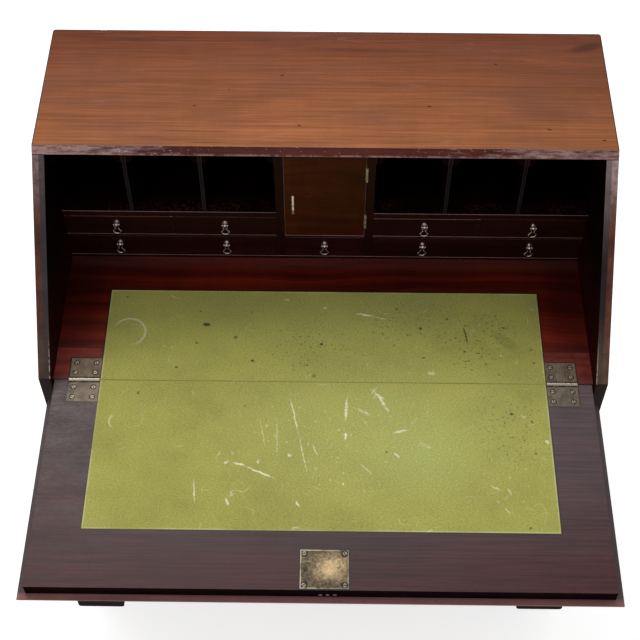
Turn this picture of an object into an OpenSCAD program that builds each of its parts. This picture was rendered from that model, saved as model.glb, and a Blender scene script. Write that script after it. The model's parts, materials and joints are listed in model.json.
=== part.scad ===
// Slant-front desk with an interior gallery, four long drawers and two pull-out slides.
// Millimetres. X to the right, Y to the back, Z up, floor at Z = 0.
// The fall is drawn open and the slides drawn out, as the desk is used.

/* [Carcass] */
// Overall width across the two sides
desk_w = 940; // [860:5:1040]
// Thickness of each side board
side_t = 20; // [17:0.5:24]
// Depth from the fall's hinge line to the back
rear_d = 524; // [500:2:580]
// How far the carcass front stands ahead of the hinge line
nose_d = 13; // [9:0.5:15]
// Slope of the fall when shut, from level
slope_a = 46; // [44:0.5:48]
// Distance from the hinge line back to the front arris of the top
top_y = 254; // [246:1:258]
// Thickness of the top board
top_t = 11.5; // [9:0.5:15]
// Thickness of the back boards
back_t = 12; // [8:1:16]
// Width of the rebate that the back boards lie in
back_rebate = 8; // [5:0.5:12]
// Number of back boards
back_n = 5; // [3:1:7]
// Thickness of the bottom board
bottom_t = 18; // [14:1:22]

/* [Base] */
// Height of the bracket feet
foot_h = 95; // [70:5:130]
// Length of each foot along the base
foot_l = 150; // [120:5:180]
// Thickness of the foot brackets
foot_t = 20; // [16:1:24]
// Height of the base moulding
base_h = 25; // [20:1:34]
// How far the base moulding stands out
base_out = 14; // [10:1:20]

/* [Long drawers] */
// Height of the top long drawer's opening
long_h1 = 103; // [90:1:120]
// Height of the second opening
long_h2 = 118; // [100:1:135]
// Height of the third opening
long_h3 = 136; // [115:1:150]
// Height of the bottom opening
long_h4 = 155; // [130:1:175]
// Thickness of the rails between the long drawers
blade_t = 18; // [14:1:22]
// Depth of those rails from front to back
blade_d = 60; // [45:1:80]
// Thickness of a long drawer's front
long_front_t = 20; // [17:0.5:24]
// Thickness of a long drawer's sides and back
long_box_t = 10; // [8:0.5:13]
// Thickness of a long drawer's bottom
long_bottom_t = 7; // [5:0.5:8]
// Empty space behind the long drawers
long_behind = 25; // [8:1:60]
// Height of the raised bead round a long drawer's front
bead_t = 2; // [1:0.25:3]
// Width of that bead
bead_w = 4; // [3:0.5:6]

/* [Bail handles] */
// Distance of each handle from the side board
handle_in = 180; // [120:5:240]
// Distance between a handle's two posts
boring = 76; // [64:1:90]
// How far the bail's pivot stands off the drawer front
bail_off = 20; // [16:0.5:24]
// Drop of the bail from its pivot to the middle of the grip
bail_drop = 32; // [28:1:38]
// Radius of the bail's rod
bail_r = 3; // [2.5:0.1:3.4]

/* [Fall] */
// Thickness of the fall's inner field, above the lip
field_t = 23.6; // [20:0.2:26]
// Thickness of the lip that lands on the slanted edges
lip_t = 6.4; // [5:0.2:9]
// How far the lip stands past the field at each side
lip_side = 12.4; // [9:0.2:14]
// How far the lip stands past the field at the top
lip_over = 10; // [6:0.5:12]
// Distance from the hinge line to where the side lips start
lip_start = 26.5; // [24:0.5:32]
// Radius of the lip's outer arris
lip_r = 4; // [2:0.5:5]

/* [Writing surface] */
// Width of the rail that the fall is hinged to
rail_w = 64; // [58:1:72]
// Thickness of the writing board
board_t = 20; // [16:1:22]
// Distance between the leather and the hinges beside it
leather_in = 1; // [1:0.5:20]
// Depth of leather behind the hinge line
leather_back = 188; // [150:2:220]
// Depth of leather on the fall
leather_front = 275; // [240:1:284]
// Thickness of the leather
leather_t = 1.2; // [0.8:0.1:1.6]

/* [Hinges and lock] */
// Width of each fall hinge along its knuckle
hinge_w = 51; // [44:1:56]
// Length of each hinge leaf from the pin
leaf_l = 43; // [38:1:48]
// Thickness of the hinge leaves
leaf_t = 2; // [1.5:0.1:2.5]
// Radius of the hinge knuckle
knuckle_r = 3.2; // [2.8:0.1:3.6]
// Distance from the side board to the middle of each hinge
hinge_in = 52; // [40:0.5:70]
// Radius of the countersunk screw heads
screw_r = 4; // [3.4:0.1:4.4]
// Length of the hinge screws
screw_l = 14; // [10:1:17]
// Width of the lock plate
lock_w = 74; // [60:1:90]
// Depth of the lock plate
lock_d = 64; // [56:1:72]
// Distance of the lock from the middle of the desk
lock_x = 6; // [-10:1:10]
// How far the lock's bolts shoot
bolt_throw = 12; // [10:0.5:13]

/* [Slides] */
// Width of each slide
slide_w = 70; // [50:1:90]
// Thickness of each slide
slide_t = 25; // [20:1:32]
// Empty space behind a slide that is pushed in
slide_behind = 35; // [10:1:60]
// Distance from the side board to the middle of each slide
slide_in = 115; // [70:1:150]
// Distance from the left slide's back end to its stop peg
peg_in_left = 42.7; // [38:0.1:70]
// Distance from the right slide's back end to its stop peg
peg_in_right = 46.2; // [38:0.1:70]

/* [Gallery] */
// How far the gallery's front stands behind the front arris of the top
gallery_in = 8; // [7:0.5:20]
// Thickness of the gallery's base board
gallery_base = 8; // [6:0.5:10]
// Height of the lower small drawers
low_h = 52; // [44:1:58]
// Thickness of the rail between the two rows of small drawers
mid_t = 5; // [4:0.5:7]
// Height of the upper small drawers
high_h = 47; // [40:1:54]
// Thickness of the shelf under the pigeonholes
shelf_t = 13; // [8:0.5:15]
// Half of the width of the cupboard opening
cupboard_x = 69.5; // [60:0.5:80]
// Thickness of the uprights beside the cupboard
upright_t = 14; // [10:0.5:18]
// Thickness of the partition between two upper drawers
split_t = 8; // [6:0.5:10]
// Width of the outer upper drawers' openings
outer_w = 182; // [150:1:220]
// Thickness of the pigeonhole dividers
divider_t = 6; // [4:0.5:8]
// Height of the shaped valance over each pigeonhole
valance_h = 38; // [30:1:46]
// Radius of the two curves at each end of a valance
valance_r = 12; // [8:0.5:14]
// Thickness of the valances
valance_t = 6; // [4:0.5:8]
// Empty space behind the small drawers
small_behind = 20; // [4:1:50]
// Thickness of the small drawers' fronts
small_front_t = 9; // [7:0.5:12]
// Thickness of the small drawers' sides
small_box_t = 5; // [4:0.5:6]
// Thickness of the cupboard door
door_t = 14; // [10:0.5:17]

/* [Drop pulls] */
// Height of the upper pulls above the middle of their drawers
pull_up = 9; // [6:0.5:13.5]
// Height of the lower pulls above the middle of their drawers
pull_low = 10; // [6:0.5:17]
// Radius of the drop loop's bow
loop_r = 6.5; // [5.5:0.25:8]
// Depth from the loop's pin to the centre of its bow
loop_drop = 16.5; // [14:0.5:18]
// Radius of the loop's wire
wire_r = 1; // [0.8:0.1:1.2]

/* [Hidden] */
$fn = 48;

// Clearances
slip = 0.3;            // between a sliding piece and what carries it
land_clear = 0.3;      // between the shut lip and the slanted edges
fall_clear = 2.2;      // between the fall's field and each side
top_clear = 0.5;       // between the shut fall's field and the top board
hinge_gap = 0.5;       // from the hinge line to the wood on either side
fit = 0.1;             // round let-in brass work
run = 0.08;            // round a turning pin
over = 1;              // how far a cutting shape runs past a face
joint_gap = 1;         // round a long drawer's front
small_gap = 0.7;       // round a small drawer's front
door_gap = 0.8;        // round the cupboard door
way_gap = 0.5;         // on each side of a slide
back_gap = 0.6;        // between two back boards
seam = 0.1;            // glue line between two boards of one sub-part

// Heights from the floor
bottom_z = foot_h + base_h;
long_h = [long_h1, long_h2, long_h3, long_h4];
long_z = [for (n = [0:3]) bottom_z + rows_below(n)];
blade_top = long_z[0] + long_h1 + blade_t;
slide_z = blade_top + slip;
fall_t = field_t + lip_t;
write_h = slide_z + slide_t + slip + fall_t;

// The slanted plane that the lip lands on, seen from the hinge line
step = field_t - land_clear;
nose_z = (step - nose_d * sin(slope_a)) / cos(slope_a);
top_z = (step + top_y * sin(slope_a)) / cos(slope_a);
under_z = top_z - top_t;
bevel_y = (under_z * cos(slope_a) - step) / sin(slope_a);
field_l = (under_z - top_clear - field_t * cos(slope_a)) / sin(slope_a);
fall_l = field_l + lip_over;

// Widths and the origin
half_w = desk_w / 2;
inner_x = half_w - side_t;
field_x = inner_x - fall_clear;
lip_x = field_x + lip_side;
hinge_x = inner_x - hinge_in;
slide_x = inner_x - slide_in;
handle_x = inner_x - handle_in;
leather_w = 2 * (hinge_x - hinge_w / 2 - leather_in);
hinge_y = (fall_l - rear_d) / 2;
back_y = rear_d - back_t;
gallery_y = top_y + gallery_in;

// Lengths that fill the depth of the carcass
long_len = back_y + nose_d - long_behind;
slide_l = back_y + nose_d - slide_behind;
small_len = back_y - gallery_y - small_behind;

// Gallery levels above the writing surface
low_z = gallery_base;
mid_z = low_z + low_h;
high_z = mid_z + mid_t;
shelf_z = high_z + high_h;
hole_z = shelf_z + shelf_t;
bank_x = cupboard_x + upright_t;
hole_w = (inner_x - bank_x - 2 * divider_t) / 3;
split_x = inner_x - outer_w - split_t;
pull_out_x = inner_x - outer_w / 2;
pull_in_x = (bank_x + split_x) / 2;

// Height of the long drawers and rails under drawer n
function rows_below(n) = n > 2 ? 0 : long_h[n + 1] + blade_t + rows_below(n + 1);

// Small drawers: [left x, right x, is in the upper row, pull places]
small = [
    [-inner_x, -split_x - split_t, true, [-pull_out_x]],
    [-split_x, -bank_x, true, [-pull_in_x]],
    [bank_x, split_x, true, [pull_in_x]],
    [split_x + split_t, inner_x, true, [pull_out_x]],
    [-inner_x, -bank_x, false, [-pull_out_x, -pull_in_x]],
    [-cupboard_x, cupboard_x, false, [0]],
    [bank_x, inner_x, false, [pull_in_x, pull_out_x]]
];

// Colours
red_wood = [0.36, 0.17, 0.12];
dark_wood = [0.22, 0.11, 0.1];
pale_wood = [0.62, 0.47, 0.32];
old_brass = [0.6, 0.5, 0.33];
green_hide = [0.5, 0.52, 0.22];
bone = [0.85, 0.82, 0.74];

// A frame whose origin is the hinge line, level with the writing surface
module at_hinge() { translate([0, hinge_y, write_h]) children(); }

// The open fall's own frame: Y away from the hinge, Z into the wood
module in_fall() { at_hinge() rotate([180, 0, 0]) children(); }

// The same frame with the fall shut on the slope
module on_slope() { at_hinge() rotate([slope_a, 0, 0]) children(); }

// A box between two X, two Y and two Z values
module slab(x, y, z) {
    translate([x[0], y[0], z[0]]) cube([x[1] - x[0], y[1] - y[0], z[1] - z[0]]);
}

// The same box less half a glue line all round
module board(x, y, z) {
    g = seam / 2;
    slab([x[0] + g, x[1] - g], [y[0] + g, y[1] - g], [z[0] + g, z[1] - g]);
}

// An outline drawn in Y and Z, extruded from x0 by w
module along_x(x0, w) {
    translate([x0, 0, 0]) rotate([90, 0, 90]) linear_extrude(w) children();
}

// A shape and its mirror image across the middle of the desk
module both_sides() {
    children();
    mirror([1, 0, 0]) children();
}

// Round bar along X
module bar_x(r, x0, x1) {
    translate([x0, 0, 0]) rotate([0, 90, 0]) cylinder(r = r, h = x1 - x0);
}

// Round bar along -Y, from a drawer front outwards
module bar_out(r, y0, y1) {
    translate([0, -y0, 0]) rotate([90, 0, 0]) cylinder(r = r, h = y1 - y0);
}

// Countersunk screw, head flush at Z = 0 and shank along +Z
screw_head_h = 2.4;
screw_shank = 2;
screw_slot = 0.9;
screw_slot_d = 0.8;
module screw_shape(r, length, grow) {
    translate([0, 0, -grow])
        cylinder(r1 = r + grow, r2 = screw_shank + grow, h = screw_head_h + grow);
    cylinder(r = screw_shank + grow, h = length + grow);
}
module screw(r, length) {
    difference() {
        screw_shape(r, length, 0);
        slab([-r - over, r + over], [-screw_slot / 2, screw_slot / 2], [-over, screw_slot_d]);
    }
}

// Screw places on a hinge leaf: X across the knuckle, Y from the pin
leaf_screw_in = 9;
leaf_row = 14.5;
leaf_rows = [leaf_row, leaf_l - leaf_screw_in];
leaf_cols = [-hinge_w / 2 + leaf_screw_in, hinge_w / 2 - leaf_screw_in];
module leaf_screw_places() {
    for (x = leaf_cols, y = leaf_rows) translate([x, y, 0]) children();
}

// One leaf in the fall's frame; odd knuckles belong to the fixed leaf
knuckle_n = 5;
knuckle_l = hinge_w / knuckle_n;
knuckle_gap = 0.15;
knuckle_seat = 0.5;
pin_r = 1.5;
function knuckle_x(k) = -hinge_w / 2 + k * knuckle_l;
module hinge_leaf(first) {
    difference() {
        union() {
            slab([-hinge_w / 2, hinge_w / 2], [0, leaf_l], [0, leaf_t]);
            for (k = [first:2:knuckle_n - 1]) bar_x(knuckle_r, knuckle_x(k), knuckle_x(k + 1));
        }
        for (k = [1 - first:2:knuckle_n - 1])
            bar_x(knuckle_r + slip, knuckle_x(k) - knuckle_gap, knuckle_x(k + 1) + knuckle_gap);
        bar_x(pin_r + run, -hinge_w, hinge_w);
        leaf_screw_places() screw_shape(screw_r, screw_l, fit);
    }
}

// What a hinge leaf needs cut out of the wood
module leaf_seat() {
    slab([-hinge_w / 2 - fit, hinge_w / 2 + fit], [-over, leaf_l + fit], [-over, leaf_t]);
    bar_x(knuckle_r + knuckle_seat, -hinge_w / 2 - fit, hinge_w / 2 + fit);
    leaf_screw_places() screw_shape(screw_r, screw_l, fit);
}

// A side board, cut to the slope at the front and rebated at the back
module side_board() {
    difference() {
        at_hinge() along_x(inner_x, side_t) polygon([
            [-nose_d, foot_h - write_h],
            [-nose_d, nose_z],
            [bevel_y, under_z],
            [rear_d, under_z],
            [rear_d, foot_h - write_h]
        ]);
        at_hinge() slab(
            [inner_x - over, inner_x + back_rebate],
            [back_y, rear_d + over],
            [foot_h - write_h - over, top_z]
        );
    }
}

module side_right() { color(red_wood) side_board(); }

module side_left() { color(red_wood) mirror([1, 0, 0]) side_board(); }

// Where the lock's bolts lie in the fall's frame, and how wide they are
bolt_z = field_t - 8;
bolt_t = 4;
bolt_w = 5;
bolt_places = [-6, 5, 16];
bolt_end = 1.5;
module lock_slab(w, y, z) { slab([lock_x - w / 2, lock_x + w / 2], y, z); }
module bolt_ways(grow, y0, y1) {
    for (x = bolt_places) translate([x, 0, 0])
        lock_slab(bolt_w + 2 * grow, [y0, y1], [bolt_z - grow, bolt_z + bolt_t + grow]);
}
module bolt_holes() { on_slope() bolt_ways(slip, field_l, field_l + bolt_throw + bolt_end); }

// Strike plate let into the underside of the top, over the bolts
strike_w = 52;
strike_d = 16.5;
strike_front = 9;
strike_y = top_y - strike_front;
strike_t = 1.5;
module strike_shape(grow, sink) {
    lock_slab(strike_w + 2 * grow, [strike_y, strike_y + strike_d], [under_z - sink, under_z + strike_t]);
}

// Rounds off the top's two back corners
corner_r = 5;
module corner_cut() {
    translate([half_w - corner_r, rear_d - corner_r, under_z - over]) linear_extrude(top_t + 2 * over)
        difference() {
            square(corner_r + over);
            circle(r = corner_r);
        }
}

module top_board() {
    color(red_wood) difference() {
        at_hinge() along_x(-half_w, desk_w) polygon([
            [bevel_y, under_z], [top_y, top_z], [rear_d, top_z], [rear_d, under_z]
        ]);
        at_hinge() both_sides() corner_cut();
        at_hinge() strike_shape(fit, over);
        bolt_holes();
    }
}

module strike_plate() {
    color(old_brass) difference() {
        at_hinge() strike_shape(0, 0);
        bolt_holes();
    }
}

module bottom_board() {
    color(pale_wood) translate([0, hinge_y, 0])
        slab([-inner_x, inner_x], [-nose_d, back_y], [bottom_z - bottom_t, bottom_z]);
}

module back_boards() {
    span = 2 * (inner_x + back_rebate);
    each_w = span / back_n;
    color(pale_wood) at_hinge() for (n = [0:back_n - 1]) slab(
        [-span / 2 + n * each_w + back_gap / 2, -span / 2 + (n + 1) * each_w - back_gap / 2],
        [back_y, rear_d],
        [bottom_z - bottom_t - write_h, under_z]
    );
}

// Wood and leather share this outline: the leather's recess on one side of the hinge line
module leather_bed(depth) {
    slab([-leather_w / 2, leather_w / 2], [hinge_gap, depth], [0, leather_t]);
}

// The hinged rail and the board behind it
module writing_board() {
    color(red_wood) difference() {
        at_hinge() {
            slab([-inner_x, inner_x], [hinge_gap, rail_w - seam], [-fall_t, 0]);
            slab([-inner_x, inner_x], [rail_w, back_y], [-board_t, 0]);
        }
        at_hinge() mirror([0, 0, 1]) {
            both_sides() translate([hinge_x, 0, 0]) leaf_seat();
            translate([0, 0, -over]) leather_bed(leather_back);
            leather_bed(leather_back);
        }
    }
}

module board_leather() {
    color(green_hide) at_hinge() mirror([0, 0, 1]) leather_bed(leather_back);
}

// Front rail, bearers, guides and top battens of the two slides
guide_w = 14;
bearer_t = 16;
rail_lap = 12;
rail_sink = 0.6;
peg_r = 4;
peg_gap = 2.3;
peg_h = fall_t + slip - board_t - peg_gap;
peg_slot = 2 * peg_r + 4;
module slide_rails() {
    z = slide_z - slip;
    rail_z = [z, write_h - fall_t - rail_sink];
    way = slide_w / 2 + way_gap;
    guide = way + guide_w;
    front = [-nose_d, hinge_gap + rail_lap];
    color(dark_wood) translate([0, hinge_y, 0]) {
        board([-slide_x + way, slide_x - way], front, rail_z);
        both_sides() {
            board([slide_x + way, inner_x], front, rail_z);
            translate([slide_x, 0, 0]) {
                board([-guide, guide], [blade_d - nose_d, back_y], [z - bearer_t, z]);
                for (side = [0, 1]) mirror([side, 0, 0]) {
                    board([way, guide], [front[1], back_y], [z, write_h - fall_t]);
                    board([peg_slot / 2, guide], [rail_w, back_y], [write_h - fall_t, write_h - board_t]);
                }
            }
        }
    }
}

// A slide with rounded lower edges, its stop peg and a finger groove underneath
groove_r = 10;
groove_in = 24;
groove_drop = 4;
groove_end = 12;
slide_r = 5;
module slide_outline() {
    translate([-slide_w / 2, slide_r]) square([slide_w, slide_t - slide_r]);
    translate([slide_r - slide_w / 2, 0]) square([slide_w - 2 * slide_r, slide_r + seam]);
    for (side = [-1, 1]) translate([side * (slide_w / 2 - slide_r), slide_r]) circle(r = slide_r);
}
module slide(peg_in) {
    peg_y = rail_w + slip + peg_r;
    reach = slide_l - peg_in - peg_y;
    color(dark_wood) translate([slide_x, hinge_y, slide_z]) {
        difference() {
            translate([0, slide_l - reach, 0]) rotate([90, 0, 0]) linear_extrude(slide_l) slide_outline();
            translate([0, groove_in - reach, -groove_drop])
                bar_x(groove_r, groove_end - slide_w / 2, slide_w / 2 - groove_end);
            translate([0, peg_y, slide_t / 2]) cylinder(r = peg_r, h = slide_t);
        }
        translate([0, peg_y, slide_t / 2]) cylinder(r = peg_r, h = slide_t / 2 + peg_h);
    }
}

module slide_right() { slide(peg_in_right); }

module slide_left() { mirror([1, 0, 0]) slide(peg_in_left); }

// Heights of the rails: over drawer 1, and under drawers 1 to 3
blade_z = [blade_top - blade_t, for (n = [0:2]) long_z[n] - blade_t];
stop_h = 7;
stop_in = 230;
stop_x = inner_x - stop_in;
stop_w = 36;
stop_d = 16;
module drawer_blades() {
    stop_y = long_front_t + slip;
    color(dark_wood) translate([0, hinge_y - nose_d, 0]) {
        for (z = blade_z) slab([-inner_x, inner_x], [0, blade_d], [z, z + blade_t]);
        for (z = long_z) both_sides()
            slab([stop_x, stop_x + stop_w], [stop_y, stop_y + stop_d], [z + seam, z + stop_h]);
    }
}

runner_w = 45;
module drawer_runners() {
    color(pale_wood) translate([0, hinge_y, 0]) both_sides() for (n = [1:3])
        slab([inner_x - runner_w, inner_x], [blade_d - nose_d, back_y], [blade_z[n], blade_z[n] + blade_t]);
}

// Outline of the base moulding with its cove: X outwards, Y up
cove_lip = 5;
module base_outline() {
    difference() {
        square([base_out, base_h]);
        translate([base_out, base_h]) circle(r = base_out - cove_lip);
    }
}

// A run of an outline along X with both ends mitred outwards; X outwards becomes -Y
module mitred_run(length, reach, height) {
    intersection() {
        translate([-length / 2 - reach, 0, 0]) rotate([90, 0, 90]) linear_extrude(length + 2 * reach)
            mirror([1, 0]) children();
        translate([0, 0, -over]) linear_extrude(height + 2 * over) polygon([
            [-length / 2, 0], [length / 2, 0], [length / 2 + reach, -reach], [-length / 2 - reach, -reach]
        ]);
    }
}

// The same with only its left end mitred and its right end square
module half_mitred_run(length, reach, height) {
    intersection() {
        translate([-reach, 0, 0]) rotate([90, 0, 90]) linear_extrude(length + reach)
            mirror([1, 0]) children();
        translate([0, 0, -over]) linear_extrude(height + 2 * over) polygon([
            [0, 0], [length, 0], [length, -reach], [-reach, -reach]
        ]);
    }
}

module base_moulding() {
    depth = rear_d + nose_d;
    color(red_wood) translate([0, hinge_y - nose_d, foot_h]) {
        mitred_run(desk_w, base_out, base_h) base_outline();
        both_sides() translate([half_w, seam, 0]) rotate([0, 0, 90])
            half_mitred_run(depth - seam, base_out, base_h)
                base_outline();
    }
}

// Outline of one foot bracket: X along the base from the corner, Y up
foot_curve = 26;
foot_toe = 46;
foot_band = 34;
foot_cusp = 24;
module foot_outline() {
    difference() {
        union() {
            square([foot_toe, foot_h]);
            translate([0, foot_h - foot_band]) square([foot_l, foot_band]);
            translate([foot_toe, foot_h - foot_band - foot_curve]) difference() {
                square(foot_curve);
                translate([foot_curve, 0]) circle(r = foot_curve);
            }
        }
        translate([foot_l, foot_h - foot_band]) circle(r = foot_cusp);
    }
}

// Two mitred brackets and a corner block behind them, which stops short of the floor
block_w = 38;
block_up = 3;
module foot() {
    translate([half_w, hinge_y - nose_d, 0]) {
        intersection() {
            rotate([90, 0, 0]) translate([0, 0, -foot_t]) linear_extrude(foot_t)
                mirror([1, 0]) foot_outline();
            linear_extrude(foot_h)
                polygon([[0, 0], [-foot_t, foot_t], [-foot_l, foot_t], [-foot_l, 0]]);
        }
        intersection() {
            rotate([90, 0, 90]) translate([0, 0, -foot_t]) linear_extrude(foot_t) foot_outline();
            translate([0, seam, 0]) linear_extrude(foot_h)
                polygon([[0, 0], [0, foot_l], [-foot_t, foot_l], [-foot_t, foot_t]]);
        }
        slab([-foot_t - block_w, -foot_t - seam], [foot_t + seam, foot_t + block_w], [block_up, foot_h]);
    }
}

module bracket_feet() {
    color(red_wood) both_sides() {
        foot();
        translate([0, 2 * hinge_y + rear_d - nose_d, 0]) mirror([0, 1, 0]) foot();
    }
}

// Boards of the gallery: base, rails, shelf, uprights and partitions
module gallery_case() {
    deep = [gallery_y, back_y];
    color(dark_wood) at_hinge() {
        board([-inner_x, inner_x], deep, [0, low_z]);
        board([-cupboard_x, cupboard_x], deep, [mid_z, high_z]);
        both_sides() {
            board([bank_x, inner_x], deep, [mid_z, high_z]);
            board([bank_x, inner_x], deep, [shelf_z, hole_z]);
            board([split_x, split_x + split_t], deep, [high_z, shelf_z]);
        }
        mirror([1, 0, 0]) board([cupboard_x, bank_x], deep, [low_z, under_z]);
        difference() {
            board([cupboard_x, bank_x], deep, [low_z, under_z]);
            for (z = door_hinge_z) door_leaf_at(cupboard_x + small_leaf_t + fit, z, fit);
        }
    }
}

// Thin dividers of the pigeonholes and the shaped valances over them
module valance_end() {
    intersection() {
        circle(r = valance_r);
        translate([seam, -valance_r]) square([valance_r, 2 * valance_r]);
    }
    translate([seam, 0]) square([valance_r - seam, valance_r + seam]);
    translate([valance_r, 0]) difference() {
        square([valance_r, valance_r + seam]);
        translate([valance_r, 0]) circle(r = valance_r);
    }
}
module valance_outline() {
    band = valance_h - 2 * valance_r;
    translate([seam, -band]) square([hole_w - 2 * seam, band - seam]);
    translate([0, valance_r - valance_h]) valance_end();
    translate([hole_w, valance_r - valance_h]) mirror([1, 0]) valance_end();
}
module valance(x0) {
    color(dark_wood) translate([x0, gallery_y + valance_t, under_z]) rotate([90, 0, 0])
        linear_extrude(valance_t) valance_outline();
}

module pigeonhole_dividers() {
    at_hinge() both_sides() {
        for (n = [0:2]) valance(bank_x + n * (hole_w + divider_t));
        for (n = [1:2]) color(dark_wood) board(
            [bank_x + n * hole_w + (n - 1) * divider_t, bank_x + n * (hole_w + divider_t)],
            [gallery_y, back_y],
            [hole_z, under_z]
        );
    }
}

// Small butt hinges on the cupboard door's right edge, with their pins in front of it
small_pin_r = 0.7;
small_knuckle_r = 1.5;
small_leaf_t = 1;
small_leaf_d = 11;
small_arm_t = 1.2;
door_pin_x = cupboard_x + 0.6;
door_pin_y = gallery_y - small_knuckle_r - fit;
door_hinge_h = 33;
door_hinge_up = 24;
door_hinge_down = 45;
door_hinge_z = [high_z + door_hinge_up, under_z - door_hinge_down - door_hinge_h];

// A knuckle round the pin between two heights
module small_knuckle(z0, z1) {
    translate([door_pin_x, door_pin_y, z0]) cylinder(r = small_knuckle_r, h = z1 - z0, $fn = 24);
}

// The bore through a hinge's knuckles, or its pin
module small_pin(z, grow) {
    translate([door_pin_x, door_pin_y, z - over * grow])
        cylinder(r = small_pin_r + grow, h = door_hinge_h + 2 * over * grow, $fn = 24);
}

// A leaf whose right face is at x1, let into the wood behind the gallery's front
module door_leaf_at(x1, z, grow) {
    slab(
        [x1 - small_leaf_t - grow, x1],
        [gallery_y - grow, gallery_y + small_leaf_d + grow],
        [z - grow, z + door_hinge_h + grow]
    );
}

// The part of a leaf that reaches forward to its knuckle
module leaf_arm(x, y1, z) { slab(x, [door_pin_y, y1], z); }

module fixed_hinge_leaves() {
    third = door_hinge_h / 3;
    color(old_brass) {
        at_hinge() both_sides() translate([hinge_x, 0, 0]) {
            mirror([0, 0, 1]) hinge_leaf(0);
            bar_x(pin_r, -hinge_w / 2, hinge_w / 2);
        }
        at_hinge() for (z = door_hinge_z) {
            small_pin(z, 0);
            difference() {
                union() {
                    door_leaf_at(cupboard_x + small_leaf_t, z, 0);
                    for (z0 = [z, z + 2 * third + slip / 2]) {
                        z1 = z0 + third - slip / 2;
                        small_knuckle(z0, z1);
                        leaf_arm([cupboard_x, cupboard_x + small_leaf_t], gallery_y + seam, [z0, z1]);
                    }
                }
                small_pin(z, run);
            }
        }
    }
}

module fixed_screws() {
    color(old_brass) at_hinge() both_sides() translate([hinge_x, 0, 0]) mirror([0, 0, 1])
        leaf_screw_places() screw(screw_r, screw_l);
}

// Cuts away the arris along X at Y = Z = 0 outside a radius
module arris_cut(r, half) {
    along_x(-half, 2 * half) difference() {
        translate([-r, -r]) square([r + over, r + over]);
        translate([-r, -r]) circle(r = r);
    }
}

// The fall's board, with everything that is let into it cut out
lock_edge = 2.3;
lock_y = field_l - lock_edge;
plate_t = 2;
case_edge = 5;
case_side = 11;
case_w = lock_w - 2 * case_side;
case_short = 18;
case_d = lock_d - case_short;
case_y = [lock_y - case_edge - case_d, lock_y - case_edge];
case_wall = 1.5;
case_room = 0.5;
case_z = bolt_z + bolt_t + case_wall + case_room;
key_r = 1.9;
key_slot = 1.6;
key_drop = 5;
key_y = case_y[0] + case_d / 2;
lock_screw_in = 6;
lock_screw_l = 12;
module lock_screw_places() {
    for (x = [-1, 1], y = [lock_y - lock_screw_in, lock_y - lock_d + lock_screw_in])
        translate([lock_x + x * (lock_w / 2 - lock_screw_in), y, 0]) children();
}
module keyhole(z) {
    translate([lock_x, key_y, z]) cylinder(r = key_r, h = fall_t);
    lock_slab(key_slot, [key_y - key_drop, key_y], [z, z + fall_t]);
}
module fall_board() {
    difference() {
        union() {
            slab([-field_x, field_x], [hinge_gap, field_l], [0, fall_t]);
            slab([-lip_x, lip_x], [lip_start, fall_l], [field_t, fall_t]);
        }
        translate([0, fall_l, fall_t]) arris_cut(lip_r, lip_x + over);
        both_sides() translate([lip_x, fall_l / 2, fall_t]) rotate([0, 0, -90]) arris_cut(lip_r, fall_l);
    }
}
module fall_panel() {
    color(dark_wood) in_fall() difference() {
        fall_board();
        both_sides() translate([hinge_x, 0, 0]) leaf_seat();
        translate([0, 0, -over]) leather_bed(leather_front);
        leather_bed(leather_front);
        lock_slab(lock_w + 2 * fit, [lock_y - lock_d - fit, lock_y + fit], [-over, plate_t]);
        lock_slab(case_w + 2 * fit, [case_y[0] - fit, case_y[1] + fit], [-over, case_z + fit]);
        lock_screw_places() screw_shape(screw_r, lock_screw_l, fit);
        bolt_ways(slip, case_y[1] - over, field_l + over);
        keyhole(plate_t);
        translate([lock_x, key_y, fall_t - escutcheon_t]) cylinder(r = escutcheon_r + fit, h = fall_t);
    }
}

module fall_leather() { color(green_hide) in_fall() leather_bed(leather_front); }

module fall_hinge_leaves() {
    color(old_brass) in_fall() both_sides() translate([hinge_x, 0, 0]) hinge_leaf(1);
}

module fall_screws() {
    color(old_brass) in_fall() {
        both_sides() translate([hinge_x, 0, 0]) leaf_screw_places() screw(screw_r, screw_l);
        lock_screw_places() screw(screw_r, lock_screw_l);
    }
}

// Cover plate, hollow case and the keyhole plate on the fall's outer face
escutcheon_r = 9;
escutcheon_t = 1.5;
module fall_lock() {
    color(old_brass) in_fall() {
        difference() {
            lock_slab(lock_w, [lock_y - lock_d, lock_y], [0, plate_t]);
            lock_screw_places() screw_shape(screw_r, lock_screw_l, fit);
        }
        difference() {
            lock_slab(case_w, case_y, [plate_t + seam, case_z]);
            lock_slab(
                case_w - 2 * case_wall,
                [case_y[0] + case_wall, case_y[1] - case_wall],
                [plate_t - over, case_z - case_wall]
            );
            bolt_ways(slip, case_y[1] - 2 * over, lock_y);
            keyhole(plate_t);
        }
        difference() {
            translate([lock_x, key_y, fall_t - escutcheon_t]) cylinder(r = escutcheon_r, h = escutcheon_t);
            keyhole(plate_t);
        }
    }
}

// Three prongs on one bar inside the case; flush with the fall's edge when drawn back
bar_d = 8;
bar_room = 5;
bar_w = case_w - 2 * case_wall - bar_room;
bar_sink = 2;
module lock_bolts() {
    y0 = case_y[1] - case_wall - bolt_throw - slip - bar_d;
    color(old_brass) in_fall() {
        lock_slab(bar_w, [y0, y0 + bar_d], [bolt_z - bar_sink, bolt_z + bolt_t]);
        bolt_ways(0, y0 + bar_d / 2, field_l);
    }
}

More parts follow.
